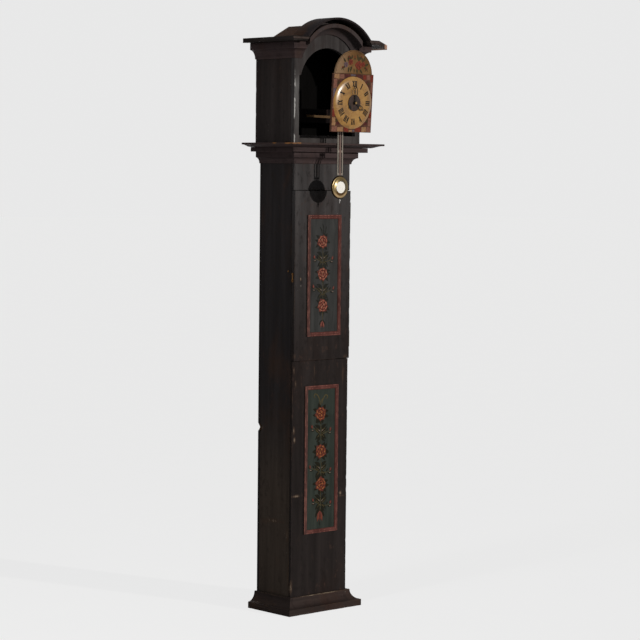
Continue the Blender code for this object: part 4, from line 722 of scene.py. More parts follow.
strip_profile = [(0.0, 0.0), (0.0, 0.0030), (0.0016, 0.0046), (0.0042, 0.0050), (0.0060, 0.0041),
                 (0.0078, 0.0040),
                 (0.0092, 0.0049), (0.0112, 0.0047), (0.0150, 0.0018), (0.0150, 0.0)]
strip_arris = [0.0, 0.4, 1.0, 0.5, 0.0, 0.0, 0.9, 0.5, 0.0, 0.0]
red_paint = red_strips()
for name, node, body, face, (low, high) in (
    ("door_frame_strips", "door_panel_moulding", "door", door_front, door_panel),
    ("lower_frame_strips", "lower_panel_moulding", "case", front_y, lower_panel),
):
    corners = []
    for x, z, right, up in ((panel_left, low, 1, 1), (panel_right, low, -1, 1), (panel_right, high, -1, -1),
                            (panel_left, high, 1, -1)):
        corners.append([(x + right * a, face - gap - b, z + up * a) for a, b in strip_profile])
    rings = []
    for first, last in zip(corners, corners[1:] + corners[:1]):
        rings += between(first, last)[:-1]
    moulding(name, node, rings, strip_arris, red_paint, "red_paint", body, closed=True,
             rubbed=0.75, nick=0.0012)


def field_paint(name, deep, pale):
    """Thin green distemper that lets brush marks and the dark ground through."""
    paint = Finish(name, 0.6, specular=0.03)
    streak = paint.grain(5.0, (9.0, 1.0, 0.9), 6.0, 0.6, 0.4)
    cloud = paint.grain(13.0, (1, 1, 0.6), 5.0, 0.6)
    middle = tuple((a + b) / 2 for a, b in zip(deep, pale))
    tint = paint.ramp(streak, (0.28, deep), (0.52, middle), (0.74, pale))
    tint = paint.over(paint.step(cloud, 0.50, 0.72), tint, (0.013, 0.013, 0.012), 0.55)
    return paint.done(tint, (cloud, 0.48, 0.70),
                      (paint.plus(streak, paint.grain(120.0, (1, 1, 0.2), 3.0)), 0.0003))


def field(name, face, span, rows, material, body):
    """A painted sheet that just covers the board inside the strips."""
    left, right = panel_left + strip + gap, panel_right - strip - gap
    low, high = span[0] + strip + gap, span[1] - strip - gap
    columns, thick, uneven, foot_lift = 18, 0.0006, 0.0001, 0.0002
    points, faces = [], []
    for j in range(rows + 1):
        for i in range(columns + 1):
            x, z = left + (right - left) * i / columns, low + (high - low) * j / rows
            points.append((x, face - thick - uneven * noise.noise(Vector((x, 0, z)) * 30.0), z))
    rim = list(range(columns + 1))
    rim += [(columns + 1) * j + columns for j in range(1, rows + 1)]
    rim += [(columns + 1) * rows + i for i in range(columns - 1, -1, -1)]
    rim += [(columns + 1) * j for j in range(rows - 1, 0, -1)]
    foot = len(points)
    points += [(points[i][0], face - foot_lift, points[i][2]) for i in rim]
    for j in range(rows):
        for i in range(columns):
            k = j * (columns + 1) + i
            faces.append((k, k + 1, k + columns + 2, k + columns + 1))
    for i in range(len(rim)):
        j = (i + 1) % len(rim)
        faces.append((rim[j], rim[i], foot + i, foot + j))
    faces.append(tuple(foot + i for i in range(len(rim) - 1, -1, -1)))
    return place(as_piece(name, points, faces, material), body, "ebony_paint")


field("door_field", door_front, door_panel, 64,
      field_paint("grey_green_field", (0.018, 0.0185, 0.0180), (0.049, 0.049, 0.048)), "door")
field("lower_field", front_y, lower_panel, 80,
      field_paint("teal_field", (0.0135, 0.0175, 0.0145), (0.036, 0.043, 0.036)), "case")

# Flowers: a string of red roses with buds, leaves and curled stems down each green field.
# Painted freehand in thick oil colour, dark leaves first, then petals from dark to light. Each brush
# stroke stands a little proud of the field, so every one is laid on as a thin swelling of its own.


class Strokes:
    """Brush strokes of one colour, gathered into a single piece on a surface that faces the front."""

    humped = (1.0, 0.0), (0.55, 0.75), (0.0, 1.0), (-0.55, 0.75), (-1.0, 0.0)

    def __init__(self, surface):
        self.surface = surface
        self.points, self.faces = [], []

    def stroke(self, spine, widths, lift, swell):
        """A stroke along a spine of x, z points, as wide as it says at each, raised along the middle."""
        start = len(self.points)
        count = len(spine)
        for i, (spot, width) in enumerate(zip(spine, widths)):
            run = Vector(spine[min(i + 1, count - 1)]) - Vector(spine[max(i - 1, 0)])
            side = Vector((-run.y, run.x)).normalized() * width / 2 if run.length else Vector((0, 0))
            spot = Vector(spot)
            for share, rise in self.humped:
                at = spot + side * share
                self.points.append(self.surface(at.x, at.y, lift + swell * rise))
        for i in range(count - 1):
            for j in range(4):
                a = start + i * 5 + j
                self.faces.append((a, a + 1, a + 6, a + 5))

    def petal(self, x, z, angle, length, width, lift, swell=0.0003, bend=0.0, blunt=0.75, steps=9):
        """A petal or leaf that starts at a point and swells along an angle measured from upright."""
        spine, widths = [], []
        for i in range(steps + 1):
            share = i / steps
            turn = angle + bend * share
            step = Vector((math.sin(turn), math.cos(turn))) * length / steps
            at = at + step if i else Vector((x, z))
            spine.append(tuple(at))
            widths.append(width * max(0.03, math.sin(math.pi * min(0.999, share**blunt + 0.001))))
        self.stroke(spine, widths, lift, swell)

    def line(self, places, width, lift, swell=0.00025):
        """A thin curved stroke through a few places."""
        spine = []
        count = len(places)
        for i in range(count - 1):
            p0, p1, p2, p3 = (Vector(places[max(0, min(count - 1, i + k))]) for k in (-1, 0, 1, 2))
            for s in range(6):
                t = s / 6
                spine.append(tuple(0.5 * (2 * p1 + (p2 - p0) * t + (2 * p0 - 5 * p1 + 4 * p2 - p3) * t * t
                                          + (3 * p1 - p0 - 3 * p2 + p3) * t**3)))
        spine.append(tuple(places[-1]))
        last = len(spine) - 1
        widths = [width * (0.25 + 0.75 * math.sin(math.pi * (0.12 + 0.80 * i / last)))
                  for i in range(last + 1)]
        self.stroke(spine, widths, lift, swell)

    def dab(self, x, z, size, lift):
        """A round touch of the brush."""
        self.petal(x, z - size, 0.0, size * 2, size * 2, lift, blunt=1.0, steps=8)

    def lay(self, name, material, body, slot):
        """Makes the strokes one piece."""
        return place(as_piece(name, self.points, self.faces, material, sharp=70.0), body, slot)


def oil_colour(name, dark, light, scale=160.0, roughness=0.42):
    """Thick oil colour, streaked dark and light and finely cracked."""
    paint = Finish(name, roughness, specular=0.04)
    cloud = paint.grain(scale, (1, 1, 1), 4.0, 0.6)
    crack = paint.step(paint.grain(420.0, (1, 1, 1), 2.0), 0.62, 0.72)
    tint = paint.ramp(cloud, (0.32, dark), (0.68, light))
    return paint.done(paint.over(crack, tint, shaded(dark, 0.35), 0.5),
                      (cloud, roughness - 0.08, roughness + 0.15), (paint.less(cloud, crack), 0.0002))


leaf_lift, stem_lift, petal_lift, fold_lift, touch_lift = 0.0007, 0.0009, 0.0010, 0.0018, 0.0019
leaf_green = oil_colour("dark_leaf_green", (0.0040, 0.0036, 0.0020), (0.0120, 0.0108, 0.0050))
olive = oil_colour("olive_stem", (0.038, 0.030, 0.012), (0.090, 0.070, 0.030))
rose_red = oil_colour("rose_red", (0.050, 0.013, 0.010), (0.110, 0.030, 0.022))
rose_orange = oil_colour("rose_orange", (0.150, 0.045, 0.030), (0.260, 0.085, 0.056))
rose_light = oil_colour("rose_light", (0.280, 0.130, 0.085), (0.400, 0.215, 0.135))
bud_pink = oil_colour("bud_pink", (0.120, 0.035, 0.028), (0.200, 0.066, 0.050))
shadow_red = oil_colour("shadow_red", (0.020, 0.006, 0.005), (0.050, 0.012, 0.008))


def spoke(x, z, turn, reach):
    """The place out from another along an angle measured from upright."""
    return x + reach * math.sin(turn), z + reach * math.cos(turn)


def rose(pots, x, z, radius, spin, leaves, glow):
    """One open rose: leaves behind, two rounds of petals, dark folds between them and light touches."""
    for i in range(leaves):
        turn = spin + 2 * math.pi * i / leaves + 0.25 * math.sin(5.1 * i + spin)
        reach = radius * (0.50 + 0.06 * math.sin(3 * i))
        pots["leaf"].petal(*spoke(x, z, turn, reach), turn, radius * 0.96, radius * 0.46, leaf_lift,
                           bend=0.35 * (-1) ** i)
    for i in range(9):
        turn = spin + 2 * math.pi * i / 9
        length = radius * (0.86 + 0.10 * math.sin(2.3 * i))
        pots["red"].petal(*spoke(x, z, turn, radius * 0.10), turn, length, radius * 0.62, petal_lift, 0.0004,
                          blunt=1.35)

    def round_of(key, count, reach, share, width, lift, swell, offset):
        """Petals laid end to end along a circle, each curling with it."""
        half = math.pi / count * share
        for i in range(count):
            turn = spin + offset + 2 * math.pi * i / count - half
            pots[key].petal(*spoke(x, z, turn, radius * reach), turn + math.pi / 2, 2 * half * radius * reach,
                            radius * width, lift, swell, bend=2 * half)

    round_of("orange", 7, 0.70, 0.86, 0.27, 0.0014, 0.0004, 0.3)
    round_of("orange", 5, 0.37, 0.92, 0.24, 0.0015, 0.0004, 0.9)
    round_of("shadow", 6, 0.53, 0.70, 0.10, fold_lift, 0.0002, 0.0)
    round_of("shadow", 3, 0.22, 0.80, 0.09, fold_lift, 0.0002, 0.5)
    pots["orange"].dab(x, z, radius * 0.13, 0.0015)
    round_of("light", glow, 0.66, 0.36, 0.085, touch_lift, 0.0002, 0.5)
    for i in range(glow // 2):
        turn = spin + 2.2 + 2 * math.pi * i / (glow // 2)
        pots["light"].petal(*spoke(x, z, turn, radius * 0.10), turn + 0.4, radius * 0.32, radius * 0.11,
                            touch_lift, 0.0002, bend=-0.8)


def bud(pots, x, z, size, lean):
    """A small bud on a thin stem: two green sepals, two red petals and a pink one between them."""
    for side in (-1, 1):
        pots["leaf"].petal(x, z - size * 0.9, lean + side * 0.75, size * 1.5, size * 0.45, leaf_lift,
                           bend=-side * 0.6)
        pots["red"].petal(x - size * 0.4 * math.sin(lean), z - size * 0.7, lean + side * 0.50, size * 1.5,
                          size * 0.62,
                          petal_lift, bend=-side * 0.5)
    pots["pink"].petal(x - size * 0.4 * math.sin(lean), z - size * 0.6, lean, size * 1.7, size * 0.58, 0.0012)


def spray(pots, x, z, tips, drop):
    """The stems and leaves that part below a rose and run out to the buds on either side."""
    foot = z - drop
    for side, (bx, bz) in zip((-1, 1), tips):
        pots["stem"].line([(x, foot), (x + side * 0.006, foot + (bz - foot) * 0.2),
                           (x + (bx - x) * 0.6, bz - 0.010), (bx, bz - 0.006)], 0.0021, 0.0011)
        for rise, turn, length, width, bend in (
            (0.024, 0.55, 0.034, 0.0150, 0.8), (0.013, 1.30, 0.036, 0.0140, -0.7),
            (0.006, 2.00, 0.032, 0.0135, 0.5),
            (-0.002, 2.65, 0.028, 0.0120, -0.5), (0.018, 2.35, 0.020, 0.0080, 0.9),
        ):
            pots["leaf"].petal(x + side * 0.003, foot + rise, side * turn, length, width, leaf_lift,
                               bend=side * bend)
        for rise, turn, length, bend in (
            (0.020, 0.75, 0.022, 0.8), (0.011, 1.40, 0.025, -0.7), (0.005, 2.10, 0.018, 0.5),
        ):
            pots["stem"].petal(x + side * 0.005, foot + rise, side * turn, length, 0.0022, 0.0012, 0.0002,
                               bend=side * bend)
        pots["leaf"].petal(x + (bx - x) * 0.72, bz - 0.012, side * 2.2, 0.018, 0.0065, leaf_lift,
                           bend=-side * 0.8)
        pots["leaf"].petal(x + (bx - x) * 0.60, bz - 0.008, side * 0.3, 0.017, 0.0060, leaf_lift,
                           bend=side * 0.9)
        pots["pale"].petal(x + (bx - x) * 0.86, bz - 0.013, side * 1.9, 0.011, 0.0022, 0.0012, 0.0002,
                           bend=-side * 0.9)
        pots["pale"].petal(x + side * 0.004, foot + 0.016, side * 0.5, 0.013, 0.0020, 0.0013, 0.0002,
                           bend=side * 0.9)


def garland(name, face, body, roses, buds, last, scroll, palette):
    """A whole string of flowers on one field, one piece for each colour."""
    ground, stem_width, bud_size, bud_lean = 0.0002, 0.0022, 0.0085, 0.35

    def on_field(x, z, out):
        return (x, face - ground - out, z)

    pots = {key: Strokes(on_field) for key in palette}
    for (x, z, radius, *_), (next_x, next_z, *_) in zip(roses, roses[1:]):
        pots["stem"].line([(x, z - radius * 0.7), (x + 0.003, (z + next_z) / 2), (next_x, next_z + 0.02)],
                          stem_width, stem_lift)
    for pair, (x, z, drop) in buds:
        spray(pots, x, z, pair, drop)
        for bx, bz in pair:
            bud(pots, bx, bz, bud_size, bud_lean * (1 if bx > x else -1))
    for flower in roses:
        rose(pots, *flower)
    x, z, size = last
    pots["stem"].line([(roses[-1][0], roses[-1][1] - 0.02), (x + 0.002, z + size * 2.2), (x, z + size)],
                      stem_width, stem_lift)
    for side in (-1, 1):
        pots["leaf"].petal(x, z + size * 1.5, side * 2.2, size * 2.3, size * 0.75, leaf_lift, bend=side * 0.5)
        pots["pink"].petal(x, z + size * 1.2, math.pi - side * 0.42, size * 2.5, size * 0.78, petal_lift,
                           0.0004,
                           bend=side * 0.22, blunt=0.9)
        pots["orange"].petal(x + side * size * 0.36, z + size * 0.4, math.pi - side * 0.22, size * 1.4,
                             size * 0.20,
                             0.0017, 0.0002)
    pots["red"].petal(x, z + size * 1.0, math.pi, size * 2.2, size * 0.55, 0.0014, 0.0004, blunt=0.9)
    pots["shadow"].petal(x, z + size * 0.5, math.pi, size * 1.5, size * 0.16, touch_lift, 0.0002)
    pots["leaf"].petal(x, z - size * 1.2, math.pi, size * 1.0, size * 0.28, leaf_lift)
    for curl in scroll:
        pots["scroll"].line(curl, 0.0042, stem_lift, 0.0004)
    for key, material in palette.items():
        pots[key].lay(f"{name}_{key}", material, body, "red_paint")


# A near-black line just outside the left-hand strip of each red frame: painted shadow, for the shade that the
# frame casts to its left.
frame_shadow_width, frame_shadow_steps = 0.0046, 40
painted_frame_shadow = oil_colour("painted_shadow_line", (0.0030, 0.0026, 0.0024), (0.0080, 0.0070, 0.0066))
for name, body, face, (low, high) in (
    ("door", "door", door_front, door_panel), ("lower", "case", front_y, lower_panel),
):
    line = Strokes(lambda x, z, out, face=face: (x, face - out, z))
    spine = [(panel_left - 0.0022 + 0.0003 * math.sin(7.0 * i), low + (high - low) * i / frame_shadow_steps)
             for i in range(frame_shadow_steps + 1)]
    widths = [frame_shadow_width + 0.0009 * math.sin(2.3 * i) for i in range(frame_shadow_steps + 1)]
    line.stroke(spine, widths, 0.0004, 0.0004)
    line.lay(name + "_frame_painted_shadow", painted_frame_shadow, body, "ebony_paint")
pale_stroke = oil_colour("pale_stroke", (0.150, 0.100, 0.078), (0.240, 0.175, 0.140))
faint_leaf = oil_colour("faint_leaf", (0.0070, 0.0072, 0.0058), (0.0185, 0.0190, 0.0150))
flower_paints = {"leaf": faint_leaf, "stem": olive, "red": rose_red, "orange": rose_orange, "pink": bud_pink,
                 "shadow": shadow_red, "light": rose_light, "pale": pale_stroke}
lower_paints = dict(
    flower_paints,
    leaf=leaf_green, scroll=olive,
    orange=oil_colour("rose_deep_orange", (0.110, 0.026, 0.012), (0.195, 0.052, 0.021)),
    pink=oil_colour("tulip_red", (0.085, 0.022, 0.016), (0.150, 0.044, 0.032)),
    light=oil_colour("rose_yellow", (0.260, 0.098, 0.032), (0.390, 0.180, 0.060)),
)
garland(
    "door_flowers", door_front, "door",
    [(-0.002, 1.380, 0.0275, 0.2, 8, 4), (-0.0005, 1.2595, 0.0275, 0.9, 8, 5),
     (0.001, 1.142, 0.0275, 1.7, 9, 5)],
    [(((-0.0415, 1.323), (0.047, 1.318)), (-0.001, 1.345, 0.045)),
     (((-0.045, 1.214), (0.0535, 1.206)), (0.0, 1.225, 0.045))],
    (0.0, 1.072, 0.011),
    [[(-0.004, 1.408), (-0.008, 1.424), (-0.016, 1.434)], [(0.001, 1.408), (0.002, 1.430), (-0.002, 1.446)],
     [(0.004, 1.408), (0.012, 1.420), (0.018, 1.436)]],
    dict(flower_paints, scroll=faint_leaf),
)
garland(
    "lower_flowers", front_y, "case",
    [(0.003, 0.738, 0.0290, 0.4, 12, 6), (0.005, 0.597, 0.0290, 1.3, 12, 5),
     (0.0065, 0.473, 0.0290, 2.1, 12, 4)],
    [(((-0.039, 0.691), (0.052, 0.677)), (0.004, 0.700, 0.045)),
     (((-0.0475, 0.5415), (0.054, 0.526)), (0.005, 0.560, 0.045)),
     (((-0.031, 0.416), (0.056, 0.401)), (0.006, 0.437, 0.045))],
    (0.003, 0.353, 0.017),
    [[(-0.002, 0.774), (-0.004, 0.792), (-0.014, 0.808), (-0.026, 0.813), (-0.031, 0.804), (-0.025, 0.799)],
     [(0.010, 0.776), (0.014, 0.790), (0.025, 0.806), (0.036, 0.804), (0.036, 0.795), (0.029, 0.795)],
     [(0.002, 0.770), (0.006, 0.786), (0.016, 0.796)]],
    lower_paints,
)

# Hood walls: a front board with an arched opening and two sides, standing on the shelf.
# Softwood boards painted outside, and near black inside as painted shade for the dark inside of the hood. The
# front is one wide board, fretted out, with its stiles rubbed pale along the left edge.
hood_half, hood_front, hood_rear, eaves_bottom, eaves_top = 0.165, -0.09875, -0.08075, 2.110, 2.1265
roof_centre, head_inset, head_rise, arch_band, hood_inside = 2.000, 0.0042, 0.110, 0.0145, 0.1490
head_radius = math.hypot(hood_half - head_inset, head_rise)
arch_radius = head_radius - arch_band
hood_sides = ebony("ebony_hood_sides", up_grain, (0.0260, 0.0210, 0.0200), inside_shade=hood_inside)
stile_scuffs = [
    ((-0.150, 0.0, 1.800), (0.02, 0.3, 0.030), 0.4),
    ((-hood_half, hood_front, 1.900), (0.004, 0.006, 0.20), 0.85),
]
worn_board("hood_wall_left", "hood_side_left", hood_sides, scuffs=stile_scuffs, rubbed=0.3)
worn_board("hood_wall_right", "hood_side_right", hood_sides, rubbed=0.3)
foot, shoulder = shelf_top + gap, eaves_bottom - gap
jamb, spring, drop, sill = 0.141, 1.989, 0.034, shelf_top + 0.028
spring_in = jamb - 0.0083
head_start = math.asin((shoulder - roof_centre) / head_radius)
outline = [(-hood_half, foot), (hood_half, foot), (hood_half, shoulder)]
outline += arc(head_radius, head_start, math.pi - head_start, 64,
               (0.0, roof_centre)) + [(-hood_half, shoulder)]
opening_start = math.atan2(drop, spring_in)
opening = [(-jamb, sill), (jamb, sill), (jamb, spring)]
opening += arc(math.hypot(spring_in, drop), opening_start, math.pi - opening_start, 64, (0.0, spring - drop))
opening += [(-jamb, spring)]


def scuffed_front():
    """The hood front's grey-black paint, flaked to a pale ground down the left-hand stile's edge, with the
    left stile lighter grey, rubbed paint and partly a painted sheen.
    """
    edge_start, edge_end, worn_top = -0.1590, -0.1620, 2.020
    paint = Finish("ebony_hood_front", 0.55, specular=0.02)
    streak = paint.grain(3.0, (16.0, 16.0, 1.6), 7.0, 0.62, 0.3)
    blotch = paint.grain(12.0, (1, 1, 0.7), 6.0, 0.62)
    across, depth, height = paint.axes()
    tint = paint.ramp(streak, (0.26, (0.024, 0.0205, 0.0200)), (0.50, (0.042, 0.0375, 0.0372)),
                      (0.76, (0.064, 0.058, 0.057)))
    tint = paint.over(paint.step(blotch, 0.52, 0.72), tint, (0.030, 0.021, 0.020), 0.6)
    face = paint.step(depth, hood_front + 0.0016, hood_front + 0.0006)
    low = paint.times(paint.step(height, worn_top, 1.950), face)
    # The left stile is lighter grey, most of all higher up: rubbed paint and partly a painted sheen.
    stile = paint.times(paint.step(across, 0.004 - jamb, -0.004 - jamb), low)
    rubbed = paint.times(stile, paint.step(paint.grain(18.0, (3, 3, 0.5), 5.0), 0.36, 0.62))
    rubbed = paint.times(rubbed, paint.most(paint.step(height, 1.740, 1.880), 0.30))
    tint = paint.over(rubbed, tint, (0.122, 0.118, 0.117), 0.85)
    rail = paint.times(paint.step(height, 1.790, 1.765), 0.6)
    tint = paint.over(rail, tint,
                      paint.ramp(streak, (0.28, (0.036, 0.031, 0.030)), (0.74, (0.080, 0.071, 0.069))))
    edge = paint.ragged(across, paint.grain(55.0, (1, 1, 0.4), 4.0), 0.018, 0.5)
    flaked = paint.times(paint.step(edge, edge_start, edge_end), low)
    flaked = paint.times(flaked, paint.step(paint.grain(30.0, (1, 1, 0.6), 4.0), 0.47, 0.54))
    return paint.done(paint.over(flaked, tint, (0.430, 0.420, 0.410), 0.8), (blotch, 0.45, 0.66),
                      (paint.less(streak, flaked), 0.0008))


fretted("hood_arch_board", "hood_front", [outline, opening], board, facing((hood_front + hood_rear) / 2),
        scuffed_front(), "ebony_paint")

# Roof: a thin painted sheet, bent over the hood front's head, overhangs the arch. Behind it a lower
# vault of three bare boards, gone brown, covers the hood, and flat painted eaves lie on its sides.
roof_front_y, roof_depth, roof_thick, roof_play, hood_back = -0.16335, 0.090, 0.0075, 0.00008, back_y - 0.043
roof_rise, roof_inner = eaves_top + gap - roof_centre, head_radius + roof_play
roof_outer = roof_inner + roof_thick
outer_start, inner_start = math.asin(roof_rise / roof_outer), math.asin(roof_rise / roof_inner)
bent = arc(roof_outer, outer_start, math.pi - outer_start, 72, (0.0, roof_centre))
bent += arc(roof_inner, math.pi - inner_start, inner_start, 72, (0.0, roof_centre))


def browned_roof():
    """Black paint at the front edge that gives way to bare brown wood further back."""
    brown_top, black_foot = 2.205, 2.175
    paint = Finish("ebony_roof", 0.6, specular=0.02)
    streak = paint.grain(4.0, (9.0, 1.0, 9.0), 7.0, 0.64, 0.4)
    _, depth, height = paint.axes()
    black = paint.ramp(streak, (0.28, (0.010, 0.0075, 0.0078)), (0.52, (0.020, 0.0155, 0.0160)),
                       (0.76, (0.034, 0.028, 0.028)))
    brown = paint.ramp(streak, (0.28, (0.016, 0.0080, 0.0052)), (0.52, (0.032, 0.0160, 0.0105)),
                       (0.76, (0.056, 0.032, 0.022)))
    back = paint.ragged(depth, streak, 0.07, 0.5)
    flank = paint.step(paint.ragged(height, paint.grain(18.0), 0.02), brown_top, black_foot)
    return paint.done(paint.over(paint.times(paint.step(back, -0.142, -0.118), flank), black, brown),
                      (streak, 0.5, 0.7), (streak, 0.0010))


fretted("roof_over_arch", "roof_front", [bent], roof_depth, facing(roof_front_y + roof_depth / 2),
        browned_roof(),
        "ebony_paint", ease=0.0012)
vault_wood = softwood("bare_roof_boards", (9.0, 0.7, 9.0), (0.026, 0.0130, 0.0085), (0.058, 0.031, 0.0205))
vault_half, vault_rise, vault_thick, vault_play = 0.042, 0.0662, 0.0115, 0.0004
vault_pitch = math.atan2(vault_rise, hood_half - vault_half)


def vault_edge(inset, height=None):
    """Where the vault's slope, set in from its outer face, meets the top board or a height."""
    knee = vault_half - inset * math.tan(vault_pitch / 2)
    top = eaves_bottom + vault_rise - inset
    return (knee, top) if height is None else (knee + (top - height) / math.tan(vault_pitch), height)


boards = []
for side in (-1, 1):
    slope = [vault_edge(0.0, eaves_bottom), vault_edge(0.0), vault_edge(vault_thick),
             vault_edge(vault_thick, eaves_bottom)]
    boards.append([(side * (x + vault_play), z) for x, z in slope])
upper, under = vault_edge(0.0), vault_edge(vault_thick)
boards.append([(-upper[0], upper[1]), upper, under, (-under[0], under[1])])
vault_front = hood_rear + gap
fretted("roof_bare_vault", "roof_vault", boards, hood_back - vault_front,
        facing((vault_front + hood_back) / 2), vault_wood,
        "bare_wood", ease=0.0008)


def eaves_paint():
    """The mouldings' black, darker on the left eaves, with the far right tip split off to raw pinkish wood.
    """
    split_start, split_end = 0.2325, 0.2345
    paint = Finish("ebony_eaves", 0.55, specular=0.02)
    streak = paint.grain(3.0, (14.0, 1.0, 14.0), 7.0, 0.62, 0.3)
    tint = paint.ramp(streak, (0.30, (0.016, 0.012, 0.011)), (0.50, (0.030, 0.024, 0.022)),
                      (0.75, (0.060, 0.050, 0.048)))
    across, depth, height = paint.axes()
    # The left eaves are a darker black than the right ones.
    darker_black = paint.ramp(streak, (0.30, (0.0075, 0.0058, 0.0052)), (0.50, (0.0140, 0.0110, 0.0100)),
                       (0.75, (0.030, 0.025, 0.024)))
    tint = paint.over(paint.step(across, 0.10, -0.10), tint, darker_black)
    edge = paint.ragged(depth, paint.grain(45.0), 0.008)
    line = paint.step(edge, roof_front_y + 0.007, roof_front_y + 0.004)
    for start, end in ((2.1240, 2.1225), (2.1160, 2.1180)):
        line = paint.times(line, paint.step(height, start, end))
    tint = paint.over(line, tint, (0.072, 0.052, 0.046), 0.6)
    split = paint.ragged(across, paint.grain(60.0), 0.012)
    raw = paint.ramp(paint.grain(30.0, (8, 1, 8)), (0.3, (0.250, 0.130, 0.090)), (0.7, (0.420, 0.270, 0.200)))
    return paint.done(paint.over(paint.step(split, split_start, split_end), tint, raw), (streak, 0.42, 0.62),
                      (streak, 0.0008))


eaves_black = eaves_paint()
for node in ("eaves_left", "eaves_right"):
    finish_node(node, eaves_black)

# Hood mouldings: a broad hollow follows the arch under the roof, and a cove with a flat band runs
# under the eaves along each side and returns across the front to meet it. Run in softwood, painted.
arch_inner, arch_in, arch_out, arch_steps = arch_radius - 0.0388, 0.005, 0.046, 96
arch_profile = [(gap, arch_inner)] + cove((gap + arch_in, arch_inner), (arch_out, arch_radius - arch_band),
                                          12)
arch_profile += [(arch_out, arch_radius), (gap, arch_radius)]
arch_section = eased(arch_profile)
return_x = arch_inner * math.cos(math.radians(21.4))
arch_rings = []
for i in range(arch_steps + 1):
    ring = []
    for spot, _ in arch_section:
        start = math.acos(return_x / spot.y)
        bend = start + (math.pi - 2 * start) * i / arch_steps
        ring.append((spot.y * math.cos(bend), hood_front - spot.x, roof_centre + spot.y * math.sin(bend)))
    arch_rings.append(ring)
hood_mouldings = ebony("ebony_hood_mouldings", (1.4, 22.0, 1.4), (0.041, 0.033, 0.0335))
moulding("arch_hollow", "arch_moulding", arch_rings[::-1], [edge for _, edge in arch_section], hood_mouldings,
         rubbed=0.35)
cove_foot, cove_head, cove_in, cove_out = 2.050, 2.084, 0.004, 0.029
hood_profile = [(gap, cove_foot)] + cove((cove_in, cove_foot), (cove_out, cove_head))
hood_profile += [(cove_out, eaves_bottom - gap), (gap, eaves_bottom - gap)]
hood_section = eased(hood_profile)
hood_arris = [edge for _, edge in hood_section]
cove_scuffs = [((-0.150, hood_front - 0.015, 2.068), (0.014, 0.02, 0.016), 0.62)]
for side, name in ((-1, "left"), (1, "right")):
    corner = set_out(hood_section, (side * hood_half, hood_front), (side, -1))
    rings = between(set_out(hood_section, (side * return_x, hood_front), (0, -1), (side * gap, 0.0)),
                    corner)[:-1]
    rings += between(corner, set_out(hood_section, (side * hood_half, back_y), (side, 0)))
    moulding("hood_cove_" + name, "hood_cornice_" + name, rings if side > 0 else rings[::-1], hood_arris,
             level_mouldings, rubbed=0.35, scuffs=cove_scuffs)

# Seat: a forked pine plank that carries the movement, tenoned into a rail across the hood.
# The plank is bare pine and the rail is near black like the hood's inside, painted shade where it sits in the
# dark of the hood.
finish_node("seat_plank",
            softwood("bare_pine", (9.0, 0.6, 9.0), (0.20, 0.110, 0.050), (0.36, 0.225, 0.115), 0.65))
finish_node("seat_rail", ebony("ebony_rail", (0.9, 24.0, 24.0), (0.006, 0.004, 0.004)))

# Dial: an arched board, painted and varnished, that leans a little forward on the movement.
# Ochre ground in the arch with roses, and a border of cream, pink and red blocks round the square.
lean, head_place = math.radians(3.3), Vector((0.0, -0.23205, 1.890))
head_frame = Matrix.Translation(head_place) @ Matrix.Rotation(lean, 4, "X")
dial_half, dial_below, dial_shoulder, dial_top = 0.100, 0.107, 0.1045, 0.1906
dial_arch, dial_depth = 0.092, 0.008
arch_middle = dial_top - dial_arch
arch_start = math.asin((dial_shoulder - arch_middle) / dial_arch)
hole = 0.0063
dial_outline = [(-dial_half, -dial_below), (dial_half, -dial_below), (dial_half, dial_shoulder)]
dial_outline += arc(dial_arch, arch_start, math.pi - arch_start, 64,
                    (0.0, arch_middle)) + [(-dial_half, dial_shoulder)]


def dial_ground():
    """Old varnished oil ground: ochre in the arch, paler to its left, brown red below."""
    square_top, arch_foot = 1.9945, 1.9975
    paint = Finish("varnished_dial_ground", 0.40, specular=0.06)
    cloud = paint.grain(26.0, (1, 1, 1), 6.0, 0.6, 0.5)
    fine = paint.grain(240.0, (1, 1, 1), 3.0)
    across, _, height = paint.axes()
    arch = paint.step(paint.ragged(height, cloud, 0.004), square_top, arch_foot)
    square = paint.ramp(cloud, (0.30, (0.034, 0.013, 0.009)), (0.52, (0.070, 0.030, 0.019)),
                        (0.74, (0.115, 0.060, 0.036)))
    ochre = paint.ramp(cloud, (0.28, (0.078, 0.038, 0.013)), (0.50, (0.132, 0.066, 0.023)),
                       (0.74, (0.182, 0.098, 0.040)))
    faded = paint.step(paint.ragged(across, cloud, 0.03), 0.010, -0.065)
    ochre = paint.over(faded, ochre, (0.245, 0.158, 0.092), 0.75)
    tint = paint.over(arch, square, ochre)
    dirt = paint.step(fine, 0.58, 0.72)
    return paint.done(paint.over(dirt, tint, (0.030, 0.016, 0.010), 0.35), (cloud, 0.26, 0.44),
                      (paint.plus(cloud, fine), 0.0002))


fretted("dial_painted_board", "dial_board", [dial_outline, arc(hole, 0, 2 * math.pi, 48)[:-1]], dial_depth,
        head_frame @ facing(dial_depth / 2), dial_ground(), "dial_paint", ease=0.0008)


def on_dial(x, z, out):
    """A place on the dial's face, out from it by a little."""
    return head_frame @ Vector((x, -out, z))


def block(strokes, left, right, low, high, lift=0.0003, swell=0.0003):
    """A brushed block of colour with soft uneven sides."""
    steps = 7
    spine, widths = [], []
    for i in range(steps + 1):
        share = i / steps
        z = low + (high - low) * share
        shift = 0.0012 * noise.noise(Vector((left * 40, z * 90, 0)))
        spine.append(((left + right) / 2 + shift, z))
        widths.append((right - left) * (0.94 + 0.07 * noise.noise(Vector((right * 50, z * 70, 3)))))
    strokes.stroke(spine, widths, lift, swell)


